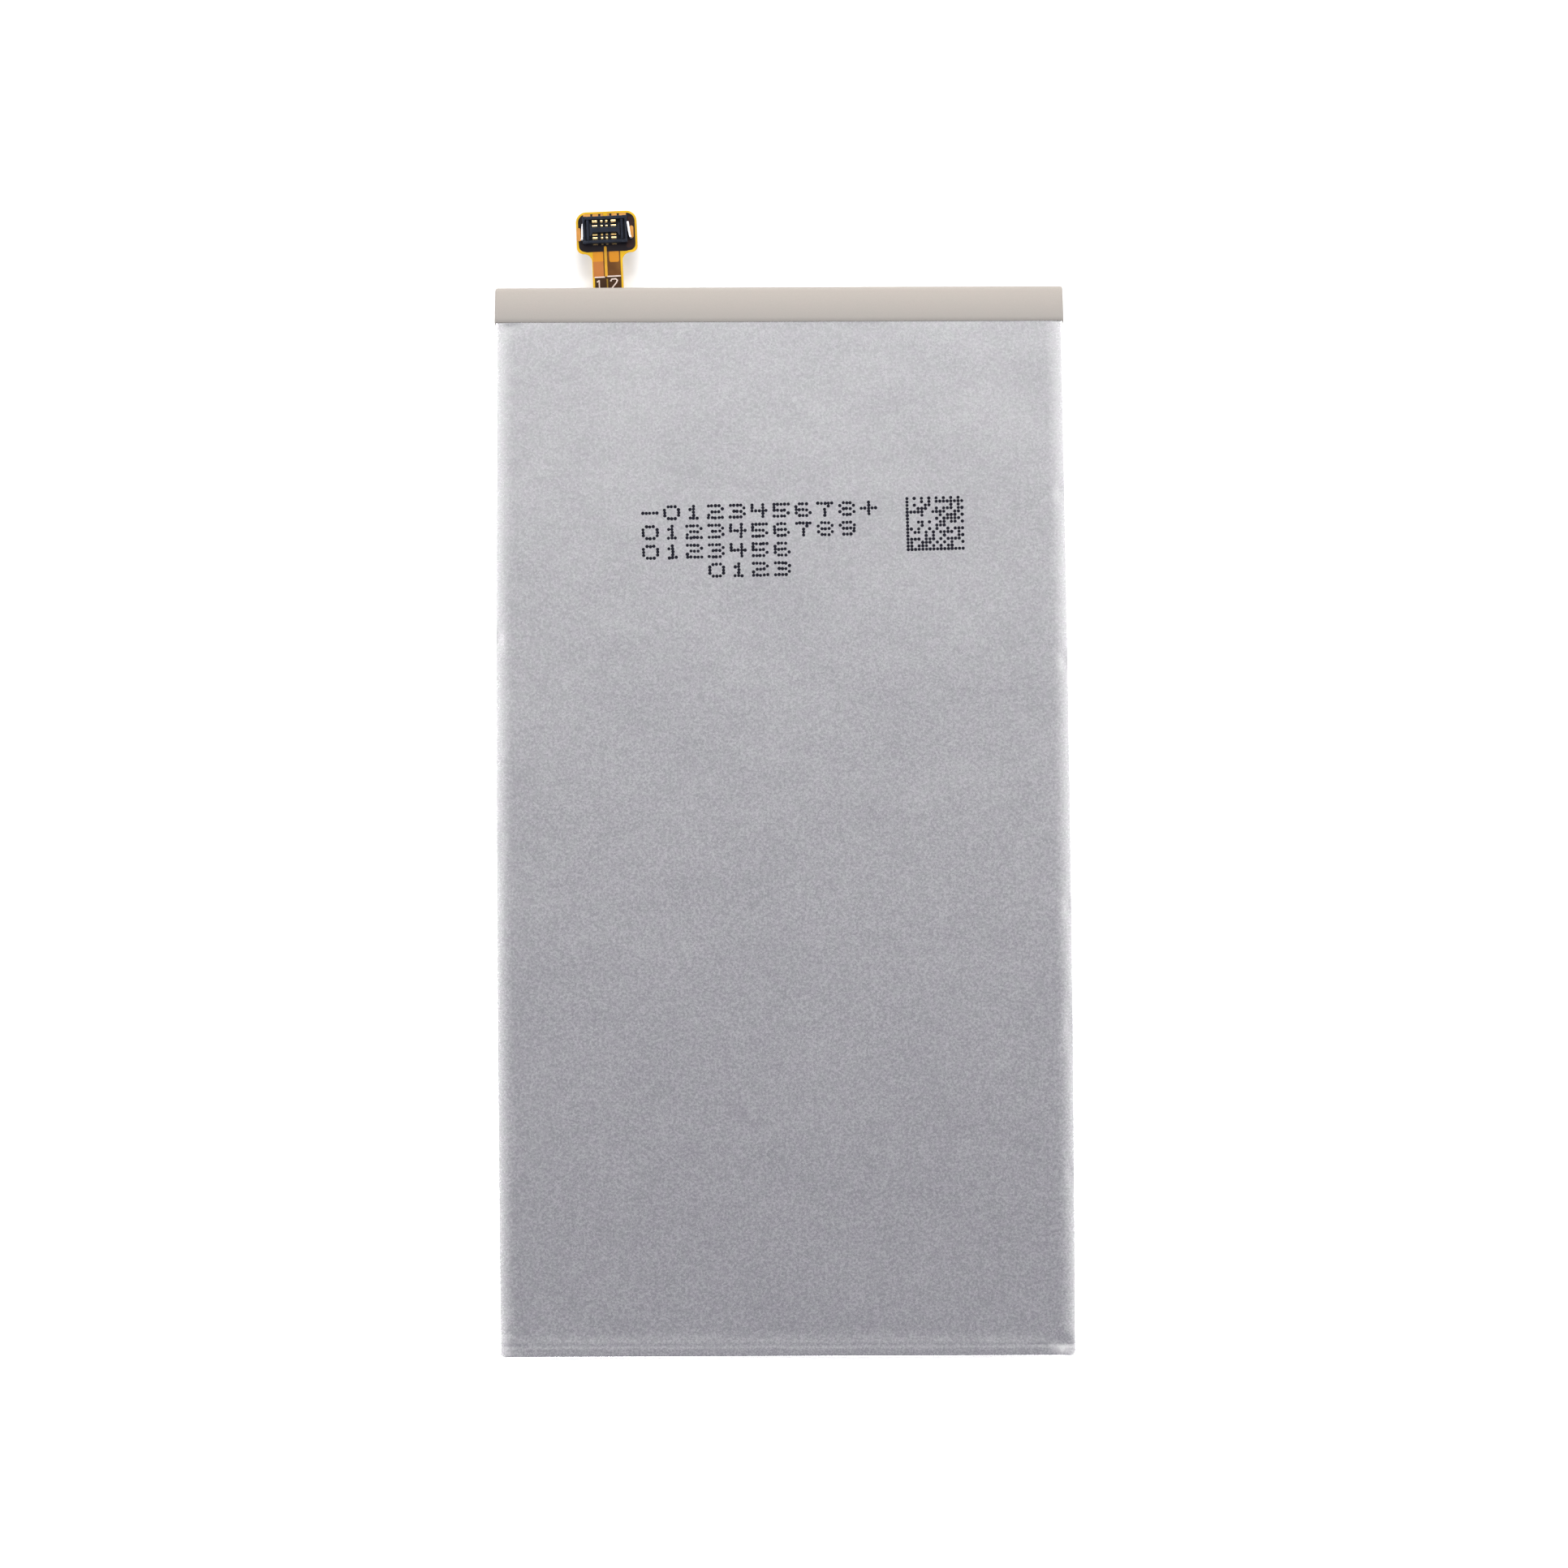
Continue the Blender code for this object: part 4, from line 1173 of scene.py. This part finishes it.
def buildHousing():
    look = tailFinish("blueBlackPlastic")
    halfX, halfY = plug["half"]
    proud = plug["proud"]
    wall, endWall = plug["wall"], plug["endWall"]
    floor = plugShape("plugFloor", roundedBox((-halfX + 0.02, halfX - 0.02),
                                              (-halfY + 0.02, halfY - 0.02), 0.1),
                      (plug["base"], plug["floor"]), look, 0.0)
    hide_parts("connector_housing")
    bm = bmesh.new()
    base, top, chamfer = plug["base"], plug["top"], plug["chamfer"]
    rings = []
    # how far each ring is drawn in along x and y, its corner and its height
    for inX, inY, corner, z in ((0.0, 0.0, 0.14, base), (0.0, 0.0, 0.14, top - chamfer),
                                (chamfer, chamfer, 0.1, top),
                                (endWall - chamfer, wall - chamfer, 0.1, top),
                                (endWall, wall, 0.08, top - chamfer), (endWall, wall, 0.08, base)):
        outline = roundedBox((-halfX + inX, halfX - inX), (-halfY + inY, halfY - inY), corner, 4)
        rings.append([bm.verts.new((x + plug["centre"][0], y + plug["centre"][1], z))
                      for x, y in outline])
    rings.append(rings[0])
    count = len(rings[0])
    for ring, following in zip(rings, rings[1:]):
        for i in range(count):
            after = (i + 1) % count
            bm.faces.new((ring[i], ring[after], following[after], following[i]))
    rim = fromBmesh("plugRim", bm, look, tailFrame)
    smooth(rim, 35.0)
    soften(rim, 0.012)
    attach(rim, "flex_head")
    sunk = plug["floor"] - 0.01
    plugShape("plugIsland", islandOutline(), (sunk, plug["islandTop"]), look, 0.03)
    for side, label in ((-1, "Left"), (1, "Right")):
        xs = sorted((side * plug["barAt"][0], side * plug["barAt"][1]))
        ys = (-halfY + wall + 0.03, halfY - wall - 0.03)
        plugShape("plugBar" + label, strip(xs, ys), (sunk, plug["barTop"]), look, 0.025)
        for end, corner in ((-1, "Low"), (1, "High")):
            x = sorted((side * (halfX - plug["post"][0]), side * (halfX + proud)))
            y = sorted((end * (halfY - plug["post"][1]), end * (halfY + proud)))
            plugShape("plugPost" + label + corner, roundedBox(x, y, 0.08, 3),
                      (base, top + 2 * proud), look, 0.04)


def islandOutline():
    # a rib with flared ends
    half, end, flare = plug["island"], plug["islandEnd"], plug["flare"]
    quarter = [(end - 0.30, half), (end - 0.19, half + 0.05), (end - 0.13, flare - 0.08),
               (end - 0.08, flare), (end, flare)]
    outline = [(x, -y) for x, y in quarter]
    outline += [(x, y) for x, y in reversed(quarter)]
    outline += [(-x, y) for x, y in quarter]
    outline += [(-x, -y) for x, y in reversed(quarter)]
    return outline


def contactPattern():
    # a sprung contact seen from its end, one millimetre wide, so that it can be stretched
    outerLow, outerHigh = contactLook["outer"]
    innerLow, innerHigh = contactLook["inner"]
    top, low = contactLook["outerTop"], contactLook["innerTop"]
    sheet = 0.07
    outside = [(contactLook["tail"][1], 0.09), (contactLook["tail"][1], 0.09 + sheet),
               (outerHigh, 0.09 + sheet)]
    outside += arc((outerHigh - 0.08, top - 0.08), 0.08, 0, 90, 4)
    outside += arc((outerLow + 0.06, top - 0.06), 0.06, 90, 180, 4)
    outside += [(outerLow, 0.17), (innerHigh, 0.17)]
    outside += arc((innerHigh - 0.1, low - 0.1), 0.1, 0, 90, 4)
    outside += arc((innerLow + 0.06, low - 0.12), 0.06, 90, 180, 4)
    outside += [(innerLow, 0.24), (innerLow + 0.1, 0.22), (innerHigh - 0.09, 0.11)]
    outside += [(outerLow, 0.10), (outerHigh, 0.09)]
    bm = bmesh.new()
    near = [bm.verts.new((-0.5, y, z)) for y, z in outside]
    far = [bm.verts.new((0.5, y, z)) for y, z in outside]
    count = len(outside)
    bm.faces.new(near)
    bm.faces.new(list(reversed(far)))
    for i in range(count):
        after = (i + 1) % count
        bm.faces.new((near[i], far[i], far[after], near[after]))
    return fromBmesh("contactPattern", bm, tailFinish("wornGold"))


def buildContacts():
    spots = []
    for turn in (0.0, math.pi):
        for x, width in contactLook["places"]:
            place = (plug["centre"][0] + x, plug["centre"][1], 0.0)
            spots.append((place, (width, 1.0, 1.0), (0.0, 0.0, turn)))
    rows = copyPattern("contacts", contactPattern(), spots, tailFinish("wornGold"))
    rows.data.transform(tailFrame)
    smooth(rows, 40.0)
    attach(rows, "flex_head")
    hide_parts(*(f"contact_{number}" for number in range(1, 9)))


nails = {
    "left": (((-1.98, 5.86), (-2.02, 5.60), (-2.05, 5.30), (-2.06, 5.0), (-2.07, 4.7), (-2.13, 4.46)),
             0.16),
    "right": (((1.90, 5.92), (1.93, 5.65), (1.97, 5.35), (2.00, 5.05), (2.04, 4.76), (2.11, 4.52)),
              0.17),
    "height": (0.05, 0.66),
}


def buildNails():
    # bright clips that hold both ends of the housing down
    for name in ("left", "right"):
        points, width = nails[name]
        outline = []
        for side in (1, -1):
            line = points if side > 0 else tuple(reversed(points))
            outline += [(x + side * width / 2, y) for x, y in line]
        clip = layer("clip" + name.title(), [outline], nails["height"], tailFinish("brightTin"),
                     body="flex_head", bevel=0.03)
        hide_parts("fitting_nail_" + name)


# finishes of the tail

# two colours, gloss, size and height of the grain, metallic and specular
tailFinishes = {
    "yellowFilm": ((0.48, 0.27, 0.005), (0.60, 0.36, 0.012), (0.35, 0.5), 0.25, 0.002, 0, 0.25),
    "orangeCopper": ((0.41, 0.155, 0.005), (0.55, 0.22, 0.012), (0.3, 0.45), 0.3, 0.004, 0, 0.3),
    # the next three coat finishes: the coat's brown with painted shade of the bends, darker towards
    # the root
    "paleCoatInBendShade": ((0.30, 0.10, 0.018), (0.41, 0.145, 0.035), (0.3, 0.45), 0.3, 0.004, 0, 0.3),
    "brownCoatInBendShade": ((0.085, 0.030, 0.004), (0.17, 0.07, 0.012), (0.3, 0.45), 0.25, 0.004, 0, 0.25),
    "darkCoatInBendShade": ((0.024, 0.010, 0.003), (0.060, 0.024, 0.006), (0.3, 0.45), 0.25, 0.003, 0, 0.2),
    "goldThread": ((0.40, 0.20, 0.010), (0.52, 0.27, 0.02), (0.3, 0.45), 0.15, 0.003, 0, 0.3),
    # painted shade: the thread below the white line, darker than the gold above it
    "threadInBendShade": ((0.16, 0.09, 0.006), (0.26, 0.15, 0.012), (0.3, 0.45), 0.15, 0.003, 0, 0.25),
    "whiteLegend": ((0.46, 0.36, 0.31), (0.60, 0.49, 0.43), (0.5, 0.65), 0.08, 0.004, 0, 0.5),
    "blackMask": ((0.005, 0.004, 0.007), (0.012, 0.008, 0.010), (0.3, 0.45), 0.2, 0.004, 0, 0.2),
    "darkMask": ((0.020, 0.009, 0.008), (0.035, 0.014, 0.011), (0.3, 0.45), 0.15, 0.004, 0, 0.2),
    "orangePad": ((0.39, 0.165, 0.025), (0.54, 0.25, 0.06), (0.3, 0.45), 0.15, 0.005, 0, 0.3),
    "brownBoard": ((0.05, 0.03, 0.02), (0.09, 0.055, 0.03), (0.45, 0.6), 0.3, 0.006, 0, 0.5),
    "blueBlackPlastic": ((0.005, 0.007, 0.013), (0.012, 0.016, 0.027), (0.26, 0.38), 0.09, 0.003,
                         0, 0.22),
    "wornGold": ((0.90, 0.64, 0.28), (0.95, 0.76, 0.42), (0.22, 0.36), 0.08, 0.003, 1.0, 0.5),
    "brightTin": ((0.86, 0.85, 0.87), (0.92, 0.91, 0.92), (0.3, 0.45), 0.1, 0.004, 0.6, 0.5),
}


def tailFinish(name):
    return finishFrom(name, tailFinishes[name])


# finishes of the hidden parts

innerFinishes = {
    "label_film": ((0.78, 0.78, 0.76), (0.83, 0.83, 0.81), (0.45, 0.6), 0.4, 0.003, 0, 0.5),
    "cathode": ((0.05, 0.05, 0.06), (0.08, 0.08, 0.09), (0.6, 0.8), 0.2, 0.006, 0, 0.5),
    "anode": ((0.08, 0.07, 0.07), (0.12, 0.11, 0.10), (0.55, 0.75), 0.2, 0.006, 0, 0.5),
    "separator": ((0.84, 0.84, 0.82), (0.90, 0.90, 0.88), (0.5, 0.65), 0.3, 0.003, 0, 0.5),
    "amber_tape": ((0.55, 0.30, 0.05), (0.68, 0.40, 0.09), (0.2, 0.35), 0.5, 0.002, 0, 0.5),
    "tab_aluminium": ((0.78, 0.78, 0.80), (0.84, 0.84, 0.86), (0.25, 0.4), 0.3, 0.003, 1.0, 0.5),
    "tab_nickel": ((0.58, 0.56, 0.51), (0.66, 0.63, 0.58), (0.22, 0.38), 0.3, 0.003, 1.0, 0.5),
    "sealant": ((0.76, 0.76, 0.74), (0.83, 0.83, 0.81), (0.3, 0.45), 0.4, 0.003, 0, 0.5),
    "insulation": ((0.76, 0.76, 0.70), (0.82, 0.82, 0.77), (0.65, 0.8), 0.2, 0.008, 0, 0.5),
    "board": ((0.025, 0.14, 0.06), (0.04, 0.19, 0.085), (0.3, 0.45), 0.4, 0.004, 0, 0.5),
    "package": ((0.018, 0.018, 0.02), (0.03, 0.03, 0.033), (0.45, 0.6), 0.1, 0.005, 0, 0.5),
    "ceramic": ((0.40, 0.29, 0.19), (0.50, 0.37, 0.25), (0.4, 0.55), 0.1, 0.004, 0, 0.5),
    "holder": ((0.018, 0.018, 0.02), (0.028, 0.028, 0.031), (0.4, 0.6), 0.15, 0.006, 0, 0.5),
    "pouch_laminate": ((0.70, 0.69, 0.71), (0.76, 0.75, 0.77), (0.3, 0.45), 0.2, 0.004, 1.0, 0.5),
    "cover_tape": ((0.43, 0.385, 0.345), (0.46, 0.415, 0.375), (0.55, 0.75), 0.2, 0.006, 0, 0.5),
    "flex": ((0.72, 0.42, 0.012), (0.86, 0.56, 0.04), (0.28, 0.42), 0.25, 0.002, 0, 0.5),
    "stiffener": ((0.05, 0.03, 0.02), (0.09, 0.055, 0.03), (0.45, 0.6), 0.3, 0.006, 0, 0.5),
    "connector": ((0.022, 0.028, 0.042), (0.034, 0.042, 0.060), (0.32, 0.48), 0.09, 0.003, 0, 0.5),
    "contact": ((0.88, 0.62, 0.26), (0.93, 0.72, 0.38), (0.16, 0.32), 0.08, 0.003, 1.0, 0.5),
    "nail": ((0.86, 0.85, 0.87), (0.92, 0.91, 0.92), (0.2, 0.36), 0.1, 0.004, 1.0, 0.5),
}


def finishInnerParts():
    # every node of the CAD, hidden ones too, gets the finish of its slot
    made = {}
    for node in frame["nodes"].values():
        for place in node.material_slots:
            slotName = place.material.name
            if slotName in innerFinishes:
                if slotName not in made:
                    made[slotName] = finishFrom(slotName + "Finish", innerFinishes[slotName])
                place.material = made[slotName]


# run

bpy.context.scene.view_settings.view_transform = "Standard"
buildCamera()
buildWorld()
buildLamps()
buildFloor()
print("camera, light and floor")
buildCup()
buildSeams()
buildCover()
buildFold()
print("pouch")
buildCode()
buildSquare()
print("ink")
buildTape()
print("tape")
buildFilm()
buildTracks()
buildLegend()
buildHead()
buildHousing()
buildContacts()
buildNails()
print("tail and connector")
finishInnerParts()
print("inner parts")
